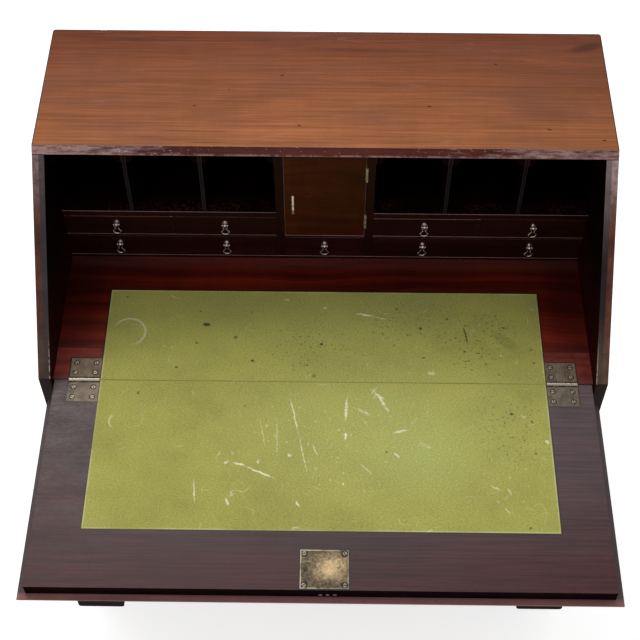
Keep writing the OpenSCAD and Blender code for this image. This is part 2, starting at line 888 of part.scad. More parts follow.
// A long drawer: beaded front, box sides, back and bottom
bottom_up = 11;
side_low = 4;
back_low = 14;
module long_drawer(n) {
    x = inner_x - joint_gap - slip;
    in_x = x - long_box_t;
    z = [long_z[n] + slip, long_z[n] + long_h[n] - joint_gap];
    floor_z = [z[0] + bottom_up, z[0] + bottom_up + long_bottom_t];
    translate([0, hinge_y - nose_d, 0]) {
        color(red_wood) difference() {
            slab([-x, x], [-bead_t, long_front_t], z);
            slab([-x + bead_w, x - bead_w], [-bead_t - over, 0], [z[0] + bead_w, z[1] - bead_w]);
            post_places(n) rotate([-90, 0, 0]) cylinder(r = shank_r + fit, h = 2 * long_front_t);
        }
        color(pale_wood) {
            both_sides() board([in_x, x], [long_front_t, long_len], [z[0], z[1] - side_low]);
            board([-in_x, in_x], [long_len - long_box_t, long_len], [floor_z[1], z[1] - back_low]);
            board([-in_x, in_x], [long_front_t, long_len], floor_z);
        }
    }
}

// Two posts for each of two handles, a little above the middle of the drawer
post_rise = 6;
shank_r = 2.5;
function handle_z(n) = long_z[n] + long_h[n] / 2 + post_rise;
module post_places(n) {
    for (x = [-handle_x, handle_x], side = [-1, 1])
        translate([x + side * boring / 2, 0, handle_z(n)]) children();
}

// Turned post with a rose, a drilled head and a nut behind the drawer front
head_r = 6.5;
rose_r = 13;
rose_t = 1.5;
step_r = 8;
step_t = 3.5;
neck_post_r = 3.6;
nut_r = 6;
nut_t = 3;
pivot_r = 1.8;
module post() {
    difference() {
        rotate([90, 0, 0]) rotate_extrude() post_outline();
        translate([0, -bail_off, 0]) bar_x(pivot_r + run, -2 * head_r, 2 * head_r);
    }
    difference() {
        translate([0, long_front_t + seam, 0]) rotate([-90, 0, 0]) cylinder(r = nut_r, h = nut_t - seam);
        rotate([-90, 0, 0]) cylinder(r = shank_r + fit, h = 2 * long_front_t);
    }
}

// Half outline of a post: X is the radius, Y runs outwards from the drawer front
module post_outline() {
    square([rose_r, rose_t]);
    square([step_r, step_t]);
    square([neck_post_r, bail_off]);
    translate([0, -long_front_t - nut_t]) square([shank_r, long_front_t + nut_t]);
    intersection() {
        translate([0, bail_off]) circle(r = head_r);
        translate([0, bail_off - head_r]) square([head_r, 2 * head_r]);
    }
}

module long_drawer_posts(n) {
    color(old_brass) translate([0, hinge_y - nose_d, 0]) post_places(n) post();
}

// One bail: a rod with rounded corners whose turned-out ends sit in the heads
bend_r = 10;
arm_gap = 0.8;
elbow = 0.5;
pivot_in = 1.5;
arm_x = boring / 2 - head_r - bail_r - arm_gap;
module bail() {
    both_sides() {
        bar_x(pivot_r, arm_x, boring / 2 + head_r - pivot_in);
        translate([arm_x, 0, 0]) bar_x(bail_r + elbow, -bail_r, bail_r);
        translate([arm_x, 0, -bail_drop + bend_r]) cylinder(r = bail_r, h = bail_drop - bend_r);
        translate([arm_x - bend_r, 0, -bail_drop + bend_r]) rotate([90, 0, 0]) rotate([0, 0, -90])
            rotate_extrude(angle = 90) translate([bend_r, 0]) circle(r = bail_r);
    }
    translate([0, 0, -bail_drop]) bar_x(bail_r, -arm_x + bend_r, arm_x - bend_r);
}

module long_drawer_bails(n) {
    color(old_brass) for (x = [-handle_x, handle_x])
        translate([x, hinge_y - nose_d - bail_off, handle_z(n)]) bail();
}

// Flat cupboard door with an inlaid chip, cut out for its two hinge leaves
chip_w = 3;
chip_h = 46;
chip_t = 1;
chip_in = 14;
chip_up = 57;
chip_x = [chip_in - cupboard_x, chip_in - cupboard_x + chip_w];
chip_z = [high_z + chip_up, high_z + chip_up + chip_h];
door_z = [high_z + door_gap, under_z - door_gap];
door_x = [-cupboard_x + door_gap, cupboard_x - door_gap];
module prospect_door() {
    color([0.45, 0.27, 0.14]) at_hinge() difference() {
        slab(door_x, [gallery_y, gallery_y + door_t], door_z);
        slab(chip_x, [gallery_y - over, gallery_y + chip_t], chip_z);
        for (z = door_hinge_z) door_leaf_at(door_x[1] + fit, z, fit);
    }
}

module prospect_door_fittings() {
    third = door_hinge_h / 3;
    color(old_brass) at_hinge() for (z = door_hinge_z) difference() {
        z0 = z + third + slip / 2;
        z1 = z + 2 * third - slip / 2;
        x0 = door_x[1] - small_leaf_t;
        union() {
            door_leaf_at(door_x[1], z, 0);
            small_knuckle(z0, z1);
            leaf_arm([x0, door_x[1]], gallery_y + seam, [z0, z1]);
            leaf_arm([x0, door_pin_x], door_pin_y + small_arm_t, [z0, z1]);
        }
        small_pin(z, run);
    }
    color(bone) at_hinge() slab(chip_x, [gallery_y, gallery_y + chip_t], chip_z);
}

// Bottom and height of small drawer n, and the height of its pulls
function small_z(n) = small[n][2] ? high_z : low_z;
function small_h(n) = small[n][2] ? high_h : low_h;
function pull_z(n) = small_z(n) + small_h(n) / 2 + (small[n][2] ? pull_up : pull_low);

small_bottom = 4;
small_bottom_up = 2;
small_side_low = 3;
small_back_low = 6;
module small_drawer(n) {
    x = [small[n][0] + small_gap, small[n][1] - small_gap];
    in_x = [x[0] + small_box_t, x[1] - small_box_t];
    z = [small_z(n) + slip, small_z(n) + small_h(n) - small_gap];
    floor_z = [z[0] + small_bottom_up, z[0] + small_bottom_up + small_bottom];
    box = [gallery_y + small_front_t, gallery_y + small_len];
    color(dark_wood) at_hinge() {
        difference() {
            slab(x, [gallery_y, gallery_y + small_front_t], z);
            for (p = small[n][3]) translate([p, gallery_y - over, pull_z(n)])
                rotate([-90, 0, 0]) cylinder(r = small_shank + fit, h = 2 * small_front_t);
        }
        board([x[0], in_x[0]], box, [z[0], z[1] - small_side_low]);
        board([in_x[1], x[1]], box, [z[0], z[1] - small_side_low]);
        board(in_x, [box[1] - small_box_t, box[1]], [floor_z[1], z[1] - small_back_low]);
        board(in_x, box, floor_z);
    }
}

// Post of a drop pull: rose, neck, drilled ball and a shank through the drawer front
neck_r = 2.6;
ball_r = 3.4;
ball_off = 6.5;
small_rose_r = 5;
small_rose_t = 1.2;
small_shank = 1.5;
module small_posts(n) {
    color(old_brass) at_hinge() for (p = small[n][3]) translate([p, gallery_y, pull_z(n)]) difference() {
        union() {
            bar_out(small_rose_r, 0, small_rose_t);
            bar_out(neck_r, 0, ball_off);
            translate([0, -ball_off, 0]) rotate([0, 0, -90]) sphere(r = ball_r);
            rotate([-90, 0, 0]) cylinder(r = small_shank, h = small_front_t);
        }
        translate([0, -ball_off, 0]) bar_x(wire_r + run, -2 * ball_r, 2 * ball_r);
    }
}

// Drop loop: a pin through the ball, legs that close to a waist and spread again, and a bow
loop_gap = 0.6;
bead_grow = 1.2;
loop_top = ball_r + wire_r + loop_gap;
waist_x = 2.3;
waist_drop = 9.5;
module wire(from, to) {
    run_x = to[0] - from[0];
    run_z = to[1] - from[1];
    translate([from[0], 0, from[1]]) {
        sphere(r = wire_r * bead_grow, $fn = 24);
        rotate([0, atan2(run_x, run_z), 0])
            cylinder(r = wire_r, h = sqrt(run_x * run_x + run_z * run_z), $fn = 24);
    }
}
module loop() {
    bar_x(wire_r, -loop_top, loop_top);
    translate([0, 0, -loop_drop]) rotate([90, 0, 0]) rotate([0, 0, 180])
        rotate_extrude(angle = 180) translate([loop_r, 0]) circle(r = wire_r, $fn = 24);
    both_sides() {
        wire([loop_top, 0], [waist_x, -waist_drop]);
        wire([waist_x, -waist_drop], [loop_r, -loop_drop]);
        translate([loop_r, 0, -loop_drop]) sphere(r = wire_r * bead_grow, $fn = 24);
    }
}

module small_loops(n) {
    color(old_brass) at_hinge() for (p = small[n][3])
        translate([p, gallery_y - ball_off, pull_z(n)]) loop();
}

side_left();
side_right();
top_board();
bottom_board();
back_boards();
writing_board();
slide_rails();
drawer_blades();
drawer_runners();
base_moulding();
bracket_feet();
gallery_case();
pigeonhole_dividers();
board_leather();
fixed_hinge_leaves();
fixed_screws();
strike_plate();
fall_panel();
fall_leather();
fall_hinge_leaves();
fall_screws();
fall_lock();
lock_bolts();
slide_left();
slide_right();
prospect_door();
prospect_door_fittings();
for (n = [0:3]) {
    long_drawer(n);
    long_drawer_posts(n);
    long_drawer_bails(n);
}
for (n = [0:6]) {
    small_drawer(n);
    small_posts(n);
    small_loops(n);
}
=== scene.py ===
"""Looks of a slant-front desk: worn mahogany, oak linings, green leather and old brass.

Laid out as an add-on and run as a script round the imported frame. Metres, floor at Z = 0.
"""

import json
import math
import random

import bmesh
import bpy
from bpy.props import FloatProperty, FloatVectorProperty, PointerProperty
from mathutils import Matrix, Vector

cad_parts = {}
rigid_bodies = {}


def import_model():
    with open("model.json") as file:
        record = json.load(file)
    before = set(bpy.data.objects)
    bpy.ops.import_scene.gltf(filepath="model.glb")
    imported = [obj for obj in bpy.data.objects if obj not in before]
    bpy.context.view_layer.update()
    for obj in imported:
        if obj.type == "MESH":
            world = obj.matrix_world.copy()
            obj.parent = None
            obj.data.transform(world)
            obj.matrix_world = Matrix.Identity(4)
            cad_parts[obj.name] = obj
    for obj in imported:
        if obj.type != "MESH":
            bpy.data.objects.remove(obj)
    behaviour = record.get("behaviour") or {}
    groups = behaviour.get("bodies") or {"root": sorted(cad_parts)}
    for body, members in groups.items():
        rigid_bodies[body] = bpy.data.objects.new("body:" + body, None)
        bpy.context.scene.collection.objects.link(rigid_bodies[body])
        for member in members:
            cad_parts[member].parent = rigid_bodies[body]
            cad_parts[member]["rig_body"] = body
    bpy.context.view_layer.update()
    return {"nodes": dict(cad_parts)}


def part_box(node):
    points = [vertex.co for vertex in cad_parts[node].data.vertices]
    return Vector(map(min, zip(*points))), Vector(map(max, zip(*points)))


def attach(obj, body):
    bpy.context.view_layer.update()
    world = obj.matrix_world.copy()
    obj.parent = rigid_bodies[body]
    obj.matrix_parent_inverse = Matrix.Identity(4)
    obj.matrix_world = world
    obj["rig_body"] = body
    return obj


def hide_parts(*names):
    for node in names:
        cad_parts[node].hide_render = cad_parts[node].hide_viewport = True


bl_info = {
    "name": "Slant-Front Desk Finishes",
    "version": (1, 0, 0),
    "blender": (4, 5, 0),
    "location": "3D View > Sidebar > Desk",
    "description": "Finishes the woods, leather and brass of a slant-front desk",
    "category": "Object",
}

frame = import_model()

MM = 0.001
AXES = (Vector((1, 0, 0)), Vector((0, 1, 0)), Vector((0, 0, 1)))

# How close corners are joined, and the angles of flat faces, of arrises and of shading edges
WELD = 1e-6
FLAT_ANGLE = math.radians(1.5)
ARRIS_ANGLE = math.radians(24)
SHADE_ANGLE = math.radians(38)

# A finish's number in its piece's list. On brass, 1 is for countersinks, sides and slots
PLAIN, ARRIS = 0, 1
LANDING, SHELTER, FRONT_EDGE = 2, 3, 4
TOP_FACE, BEVEL, BEVEL_ARRIS = 2, 3, 4
RAIL = 2
LIP, FALL_OUTSIDE, FALL_EDGE = 2, 3, 4
GALLERY_FACE, SHELF_FLOOR, UPRIGHT_ARRIS = 2, 3, 4
DIVIDER_FACE, VALANCE = 2, 3
SUNK, KNUCKLE, CUPBOARD_LEAF = 1, 2, 3
LOCK_CASE = 2

# Places on the desk and the angle of its slope, from the frame where it has them
LEATHER_GAP = 0.5 * MM
HINGE_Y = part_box("board_leather")[0].y - LEATHER_GAP
WRITE_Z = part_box("writing_board")[1].z
TOP_LOW, TOP_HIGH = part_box("top_board")
SIDE_INNER = -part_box("side_left")[1].x
FALL_LOW, FALL_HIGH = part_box("fall_panel")
LOCK_LOW, LOCK_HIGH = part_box("fall_lock")
LOCK_MIDDLE = (LOCK_LOW + LOCK_HIGH) / 2
GALLERY_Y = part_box("prospect_door")[0].y
GALLERY_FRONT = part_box("gallery_case")[0].y
CUPBOARD_Z = WRITE_Z + 15 * MM
SHELF_Z = WRITE_Z + 120 * MM
CHIP_CRACK_Z = WRITE_Z + 142 * MM
CHIP_WORN_Z = WRITE_Z + 132 * MM
SLOPE = math.radians(46)

# The lip's thickness, the rail's depth and the reaches that tell one face from another
LIP_T = 6.4 * MM
RAIL_D = 64.5 * MM
SKIN = 1 * MM
FIELD_SKIN = 1.5 * MM
FRONT_REACH = 5 * MM
DIVIDER_MOST_W = 9 * MM
DIVIDER_LEAST_H = 30 * MM
KNUCKLE_REACH = 3.8 * MM
PLATE_REACH = 2.2 * MM
HEAD_REACH = 0.3 * MM

# How far from a side's inner face its grey landing band turns red
BAND_EDGE = (8.5 * MM, 10.5 * MM)

# Tones of marks, dirt and wear, and of painted light, shade and sheen
# Dirt, also used for painted shade in gaps and along the hinge knuckles
DIRT_AND_SHADE = (0.014, 0.01, 0.007)
DIRT_DARK, DIRT_PALE = (0.008, 0.006, 0.004), (0.03, 0.022, 0.015)
TOP_BLUSH = (0.17, 0.06, 0.042)
TOP_STREAK_TONE = (0.06, 0.02, 0.013)
TOP_SPOT_TONE = (0.03, 0.01, 0.005)
TOP_SCRATCH = (0.5, 0.22, 0.14)
TOP_RIM = (0.04, 0.015, 0.01)
BEVEL_BRUISE = (0.3, 0.14, 0.13)
BEVEL_NICK = (0.8, 0.64, 0.6)
BEVEL_FOOT = (0.42, 0.27, 0.26)
CASE_SCUFF = (0.32, 0.16, 0.1)
EDGE_PAINTED_SHADOW = (0.012, 0.004, 0.005)
LANDING_FOOT = (0.075, 0.05, 0.03)
LANDING_HEAD = (0.3, 0.21, 0.2)
LANDING_RUB = (0.5, 0.42, 0.38)
INNER_PAINTED_SHADE, SHELTER_RED = (0.003, 0.0006, 0.0006), (0.022, 0.0016, 0.002)
OAK_DUST = (0.16, 0.1, 0.06)
BOARD_BLOOM = (0.13, 0.05, 0.045)
RAIL_RUB = (0.1, 0.045, 0.042)
FALL_RED = (0.056, 0.0055, 0.0075)
FALL_STREAK_TONE = (0.01, 0.004, 0.003)
FALL_PAINTED_SHEEN = (0.072, 0.036, 0.042)
FALL_CORNER_PAINTED_LIGHT = (0.13, 0.085, 0.09)
LIP_DARK, LIP_GREY = (0.07, 0.045, 0.05), (0.12, 0.085, 0.09)
SHELF_DUST = (0.07, 0.018, 0.02)
LOCK_DARK, LOCK_DULL, LOCK_RIM = (0.03, 0.023, 0.016), (0.23, 0.17, 0.1), (0.62, 0.54, 0.4)
KNUCKLE_TONE = (0.6, 0.52, 0.42)
BONE_CRACK = (0.02, 0.01, 0.006)
BONE_SOIL = (0.05, 0.024, 0.012)

# Wood at worn arrises and thin edges, by its finish's name: tone, roughness and gloss. Some also hold
# painted highlight or painted shade, as marked below
WORN_WOODS = {
    # Pale with wear and painted highlight
    "arris_wear_and_highlight": ((0.3, 0.15, 0.12), 0.45, 0.3),
    "dark_arris": ((0.03, 0.012, 0.009), 0.5, 0.15),
    "rubbed_arris": ((0.16, 0.075, 0.065), 0.4, 0.3),
    # Near black as painted shade: the edge between the fall's field and lip
    "fall_edge_painted_shade": ((0.006, 0.0014, 0.0018), 0.5, 0.02),
    # Near black as painted shade: the slides' arrises
    "slide_arris_painted_shade": ((0.006, 0.003, 0.003), 0.5, 0.02),
    "bead_polish": ((0.1, 0.036, 0.018), 0.35, 0.4),
    # Pale with wear and painted highlight on the gallery's level arrises; dark as painted shade on its
    # upright ones
    "gallery_arris_wear_and_highlight": ((0.34, 0.2, 0.2), 0.4, 0.2),
    "upright_arris_painted_shade": ((0.03, 0.014, 0.014), 0.5, 0.08),
    "divider_front": ((0.014, 0.009, 0.0105), 0.5, 0.04),
    "divider_arris": ((0.06, 0.05, 0.056), 0.5, 0.1),
    # Pale with wear and painted highlight
    "door_arris_wear_and_highlight": ((0.26, 0.15, 0.14), 0.5, 0.2),
}

# Marks as (x, y, length, width, degrees, strength), in millimetres, x from the desk's middle
# and y from the hinge line
TOP_SPOTS = (
    (-73, 416, 8, 4, 25, 0.9), (-215, 344, 8, 4, -20, 0.8), (-42, 301, 7, 4, -10, 0.9),
    (285, 447, 7, 4, -10, 0.9), (170, 347, 9, 4, -10, 0.9), (362, 297, 11, 4, -15, 0.9),
    (448, 274, 8, 4, 0, 0.9), (-160, 382, 5, 3, 0, 0.5), (60, 431, 5, 3, 0, 0.4),
)
TOP_STREAKS = (
    (-300, 500, 190, 12, 0, 0.5), (444, 490, 84, 24, 16, 0.8), (-120, 503, 160, 7, 0, 0.35),
    (-293, 273, 90, 3, 0, 0.6), (-190, 262, 84, 3, 0, 0.6), (300, 420, 200, 5, 1, 0.3),
    (60, 478, 320, 9, -1, 0.35), (340, 345, 170, 60, -20, 0.2), (-150, 350, 200, 60, 20, 0.15),
)
LEATHER_STAINS = (
    (-201, 115, 15, 9, 0, 0.9), (-150, 89, 8, 8, 0, 0.6), (-216, 77, 5, 4, 0, 0.8),
    (-119, 41, 7, 6, 0, 0.9), (-246, 27, 8, 4, 0, 0.8), (-342, 173, 4, 4, 0, 0.7),
    (-213, 143, 4, 4, 0, 0.7), (-124, 142, 4, 4, 0, 0.6), (-3, 77, 8, 6, 0, 0.9),
    (-27, 33, 4, 4, 0, 0.8), (-15, 12, 8, 10, 0, 0.5), (166, 111, 8, 5, 0, 0.8),
    (101, 100, 4, 4, 0, 0.8), (213, 132, 6, 5, 0, 0.7), (308, 114, 6, 4, 0, 0.7),
    (239, 64, 6, 4, 0, 0.8), (169, 50, 7, 4, 0, 0.8), (295, 18, 5, 4, 0, 0.7),
    (126, 152, 4, 4, 0, 0.7), (352, 69, 4, 4, 0, 0.7), (355, 42, 6, 4, 0, 0.8),
    (243, 97, 39, 3.5, -82, 0.85), (308, 87, 62, 28, -43, 0.2), (-306, -25, 6, 9, 0, 0.6),
    (310, -59, 8, 6, 0, 0.8), (344, -133, 6, 5, 0, 0.8), (342, -73, 5, 4, 0, 0.7),
    (324, -266, 6, 6, 0, 0.6), (-128, -48, 5, 5, 0, 0.5), (104, -133, 4, 4, 0, 0.8),
)
LEATHER_SCUFFS = (
    (39, -53, 50, 5.5, -93, 0.85), (38, -105, 18, 5, -90, 0.9), (34, -173, 4, 4, 0, 0.6),
    (34, -192, 4, 4, 0, 0.7), (99, -39, 46, 6, -62, 0.8), (-46, -67, 82, 3, -78, 0.75),
    (-31, -136, 82, 2.4, -78, 0.6), (-132, -158, 25, 4.5, -12, 0.8), (-98, -173, 60, 4, -24, 0.9),
    (-153, -155, 11, 4, 23, 0.75), (127, -94, 29, 5, 13, 0.65), (-97, -99, 63, 2.4, -79, 0.35),
    (-73, -108, 84, 3, -88, 0.35), (-52, -141, 9, 6, 0, 0.7), (-102, -154, 6, 9, 0, 0.5),
    (-11, -131, 27, 3, -67, 0.55), (70, -164, 34, 3, -43, 0.5), (120, -139, 15, 4, -43, 0.65),
    (67, -57, 30, 5, -30, 0.45), (-148, -226, 16, 5, -66, 0.8), (-37, -228, 15, 4.5, -60, 0.75),
    (70, 139, 35, 5, -10, 0.9), (96, 133, 30, 2.6, -12, 0.6), (182, 20, 18, 9, 0, 0.4),
    (94, -27, 23, 5, -39, 0.8), (275, -196, 23, 2.5, -26, 0.5), (297, -203, 17, 3, -71, 0.6),
    (292, -237, 19, 2.5, -42, 0.4), (364, -111, 8, 9, 0, 0.6), (-201, -207, 47, 3.2, -85, 0.7),
    (-65, 170, 12, 4, 0, 0.6), (2, 153, 7, 4, 0, 0.6), (301, 56, 5, 4, 0, 0.8),
)
SPECKLED = (
    (258, 99, 190, 150, 0, 0.8), (249, 50, 120, 80, 0, 1.0), (-20, 70, 260, 150, 0, 0.6),
    (310, -90, 170, 200, 0, 0.7), (150, 110, 260, 140, 0, 0.6), (60, -260, 700, 60, 0, 0.3),
)
FLECKED = ((-20, -120, 420, 280, 0, 0.8), (90, 30, 260, 60, 0, 0.6), (300, -200, 140, 160, 0, 0.7))
FALL_STREAKS = ((-360, -332, 90, 4, 0, 0.7), (150, -318, 150, 5, 0, 0.35), (-60, -346, 120, 4, 1, 0.4))
WORN_PATCHES = ((100, -100, 640, 380, 0, 0.6), (20, 110, 500, 160, 0, 0.35))
FRESH_PATCHES = ((166, -138, 190, 170, 0, 0.6), (110, -40, 120, 60, 20, 0.3))

# A pale ring on the leather, in metres: its middle, its radius and the middle of its clear part
RING_MIDDLE = (-0.333, 0.098, 0)
RING_R = 28 * MM
RING_LIT = (-0.318, 0.112, 0)

# Screws: how near its middle a slot's edges lie, the wear of slots and heads, and their turns
SLOT_REACH = 0.6 * MM
SLOT_WEAR = 1.7
HEAD_SHARE = 0.88
HEAD_TURN = 80
SCREW_SEED = 7

# Degrees that each screw of the lock is turned, by whether it is on the right and at the back
LOCK_SLOTS = {(False, True): 10, (True, True): -62, (False, False): 45, (True, False): 2}

# Half the gap between the leathers, and how far from the hinge line their edges are looked for
HINGE_GAP = 0.15 * MM
HINGE_REACH = 0.6 * MM

# Timber noises, in features per metre along, across and through the grain
BEND_SCALE = (2.2, 7, 7)
BROAD_SCALE = (1.1, 55, 55)
FINE_SCALE = (8, 430, 430)
CLOUD_SCALE = (3, 9, 9)
PORE_SCALE = (130, 2300, 2300)
CROSS_SCALE = (42, 7, 7)

# Stage: each lamp's size, place and aim in metres, the floor's width and its own light
KEY_LAMP = ((2.4, 1.2), (-0.35, 1.4, 2.75), (0, -0.1, 0.76))
FILL_LAMP = ((2.0, 2.0), (-1.2, -2.6, 2.4), (0, 0, 0.5))
FLOOR_SIZE = 30
FLOOR_GLOW = 0.6

# The photograph's camera: its place, and how far it looks down, turns and rolls, in degrees
CAMERA_PLACE = (0.0091, -1.2745, 2.6057)
CAMERA_ANGLES = (54.2029, -0.664, 0.0376)
CAMERA_SENSOR = 36
CAMERA_CLIP = (0.05, 60)


# Shader recipes


class Recipe:
    """A material's node tree, with short ways to add to it."""

    def __init__(self, name):
        self.material = bpy.data.materials.new(name)
        self.material.use_nodes = True
        self.tree = self.material.node_tree
        self.shader = self.tree.nodes["Principled BSDF"]

    def node(self, kind, inputs=(), **settings):
        """Adds a node; inputs are its sockets' values or links, by name or number."""
        made = self.tree.nodes.new(kind)
        for key, value in settings.items():
            setattr(made, key, value)
        for key, value in dict(inputs).items():
            self.feed(made.inputs[key], value)
        return made

    def feed(self, socket, value):
        """Links a socket, or sets its value where no link is given."""
        if isinstance(value, bpy.types.NodeSocket):
            self.tree.links.new(value, socket)
        elif value is not None:
            socket.default_value = value

    def shaken(self, vector, scale, reach):
        """A coordinate moved about a little, so that drawn marks get uneven edges."""
        cloud = self.node("ShaderNodeTexNoise", {"Vector": vector, "Scale": scale, "Detail": 2.0})
        off = self.node("ShaderNodeVectorMath", {0: cloud.outputs["Color"], 1: (0.5, 0.5, 0.5)},
                        operation="SUBTRACT").outputs[0]
        return self.node("ShaderNodeVectorMath", {0: off, 1: (reach, reach, 0), 2: vector},
                         operation="MULTIPLY_ADD").outputs[0]

    def sum(self, op, a, b=None, c=None, clamp=False):
        """One step of arithmetic, by its name in the node."""
        made = self.node("ShaderNodeMath", operation=op, use_clamp=clamp)
        for socket, value in zip(made.inputs, (a, b, c)):
            self.feed(socket, value)
        return made.outputs[0]

    def times(self, a, b, clamp=False):
        """One value times another."""
        return self.sum("MULTIPLY", a, b, clamp=clamp)

    def less(self, a, b):
        """One value less another."""
        return self.sum("SUBTRACT", a, b)

    def off(self, value, middle=0.0):
        """How far a value lies from a middle one, either way."""
        return self.sum("ABSOLUTE", self.less(value, middle))

    def scaled(self, vector, scale, location=(0, 0, 0), rotation=(0, 0, 0), kind="POINT"):
        """Stretches, moves or turns a coordinate."""
        made = self.node(
            "ShaderNodeMapping",
            {"Vector": vector, "Scale": scale, "Rotation": rotation, "Location": location},
            vector_type=kind,
        )
        return made.outputs[0]

    def noise(self, vector, scale=1.0, detail=3.0, rough=0.55, warp=0.0):
        """Cloudy noise from 0 to 1, at one scale or at one for each axis."""
        if isinstance(scale, tuple):
            vector, scale = self.scaled(vector, scale), 1.0
        made = self.node(
            "ShaderNodeTexNoise",
            {"Vector": vector, "Scale": scale, "Detail": detail, "Roughness": rough,
             "Distortion": warp},
        )
        return made.outputs[0]

    def span(self, value, low, high, to_low=0.0, to_high=1.0, smooth=True):
        """Takes a value from one range to another, held at both ends."""
        made = self.node(
            "ShaderNodeMapRange",
            {0: value, 1: low, 2: high, 3: to_low, 4: to_high},
            interpolation_type="SMOOTHSTEP" if smooth else "LINEAR",
        )
        return made.outputs[0]

    def mix(self, share, a, b, blend="MIX"):
        """Mixes two colours."""
        made = self.node("ShaderNodeMix", data_type="RGBA", blend_type=blend)
        self.feed(made.inputs[0], share)
        self.feed(made.inputs[6], _rgba(a))
        self.feed(made.inputs[7], _rgba(b))
        return made.outputs[2]

    def ramp(self, value, *stops):
        """A colour ramp through (place, colour) stops."""
        made = self.node("ShaderNodeValToRGB", {0: value})
        ends = made.color_ramp.elements
        while len(ends) < len(stops):
            ends.new(0.5)
        for end, (place, colour) in zip(ends, stops):
            end.position, end.color = place, _rgba(colour)
        return made.outputs[0]

    def shaded(self, colour, factor):
        """A colour made lighter or darker by a plain number."""
        made = self.node("ShaderNodeVectorMath", operation="SCALE")
        self.feed(made.inputs[0], colour)
        self.feed(made.inputs["Scale"], factor)
        return made.outputs[0]

    def away(self, vector, point):
        """How far a coordinate lies from a point."""
        made = self.node("ShaderNodeVectorMath", {0: vector, 1: point}, operation="DISTANCE")
        return made.outputs["Value"]

    def place(self):
        """Coordinates on the piece itself, in metres."""
        return self.node("ShaderNodeTexCoord").outputs["Object"]

    def axis(self, vector, number):
        """One of a coordinate's three numbers."""
        return self.node("ShaderNodeSeparateXYZ", {0: vector}).outputs[number]

    def grain(self):
        """Coordinates along, across and through the grain of each board."""
        return self.node("ShaderNodeAttribute", attribute_name="grain").outputs["Vector"]

    def finish(self, colour, rough, height=None, depth=0.2 * MM, strength=0.5, **sockets):
        """Feeds the shader, and sets the sockets that stay the same all over."""
        self.feed(self.shader.inputs["Base Color"], colour)
        self.feed(self.shader.inputs["Roughness"], rough)
        if height is not None:
            made = self.node(
                "ShaderNodeBump", {"Height": height, "Distance": depth, "Strength": strength}
            )
            self.feed(self.shader.inputs["Normal"], made.outputs[0])
        for key, value in sockets.items():
            self.shader.inputs[key.replace("_", " ")].default_value = value
        return self.material


def _rgba(colour):
    """A colour with an alpha of 1, or a socket as it is."""
    if isinstance(colour, bpy.types.NodeSocket) or len(colour) == 4:
        return colour
    return (*colour, 1.0)


def figure(recipe, stripe=1.0, wave=1.0, mottle=0.1, pore=0.5):
    """Tone from 0 to 1, a shade for pores and cross figure, the relief and the fine grain."""
    grain = recipe.grain()
    along, across, through = (recipe.axis(grain, n) for n in range(3))
    bend = recipe.noise(grain, BEND_SCALE, detail=2)
    bend = recipe.sum("MULTIPLY_ADD", bend, 0.05 * wave, across)
    bent = recipe.node("ShaderNodeCombineXYZ", {0: along, 1: bend, 2: through}).outputs[0]
    broad = recipe.noise(bent, BROAD_SCALE, detail=4)
    fine = recipe.noise(bent, FINE_SCALE, detail=3, rough=0.6)
    cloud = recipe.noise(bent, CLOUD_SCALE, detail=3)
    dashes = recipe.noise(bent, PORE_SCALE, detail=1)
    pores = recipe.span(dashes, 0.6, 0.7)
    tone = recipe.sum("MULTIPLY_ADD", broad, 0.62 * stripe, recipe.times(fine, 0.3))
    tone = recipe.sum("MULTIPLY_ADD", cloud, 0.4, tone)
    middle = 0.31 * stripe + 0.35
    tone = recipe.span(tone, middle - 0.29, middle + 0.29, smooth=False)
    cross = recipe.noise(bent, CROSS_SCALE, detail=2)
    shade = recipe.span(cross, 0.3, 0.7, 1 - mottle, 1 + mottle)
    shade = recipe.times(shade, recipe.sum("MULTIPLY_ADD", pores, -pore, 1.0))
    height = recipe.sum("MULTIPLY_ADD", pores, -0.8, recipe.times(fine, 0.5))
    return tone, shade, height, fine


def timber(recipe, tones, **kind):
    """Colour and relief of timber in a dark, a middle and a light tone."""
    tone, shade, height, fine = figure(recipe, **kind)
    dark, middle, light = tones
    colour = recipe.ramp(tone, (0.0, dark), (0.5, middle), (1.0, light))
    return recipe.shaded(colour, shade), height, fine


def scratches(recipe, coords, scale, width=0.006, gaps=0.56):
    """Thin broken lines, from the level lines of a noise."""
    field = recipe.noise(coords, scale, detail=1, warp=0.6)
    off = recipe.off(field, 0.5)
    line = recipe.span(off, 0.0, width, 1.0, 0.0)
    patchy = recipe.noise(coords, scale * 2.5, detail=2)
    return recipe.times(line, recipe.span(patchy, gaps, gaps + 0.1))


def blots(recipe, coords, marks, sharp=2.0):
    """Soft-edged ovals: marks are (x, y, length, width, degrees, strength), in millimetres."""
    total = None
    for x, y, length, width, turn, strength in marks:
        local = recipe.scaled(
            coords,
            (length / 2 * MM, width / 2 * MM, 1.0),
            (x * MM, y * MM, 0),
            (0, 0, math.radians(turn)),
            "TEXTURE",
        )
        oval = recipe.node("ShaderNodeTexGradient", {0: local}, gradient_type="SPHERICAL")
        value = recipe.times(oval.outputs["Fac"], sharp, clamp=True)
        value = recipe.times(value, strength)
        total = value if total is None else recipe.sum("MAXIMUM", total, value)
    return total


def edge_gap(recipe, coords, low, high):
    """How far a place lies inside the edges of a rectangle."""
    near = None
    for n in range(2):
        value = recipe.axis(coords, n)
        for gap in (recipe.less(value, low[n]), recipe.less(high[n], value)):
            near = gap if near is None else recipe.sum("MINIMUM", near, gap)
    return near


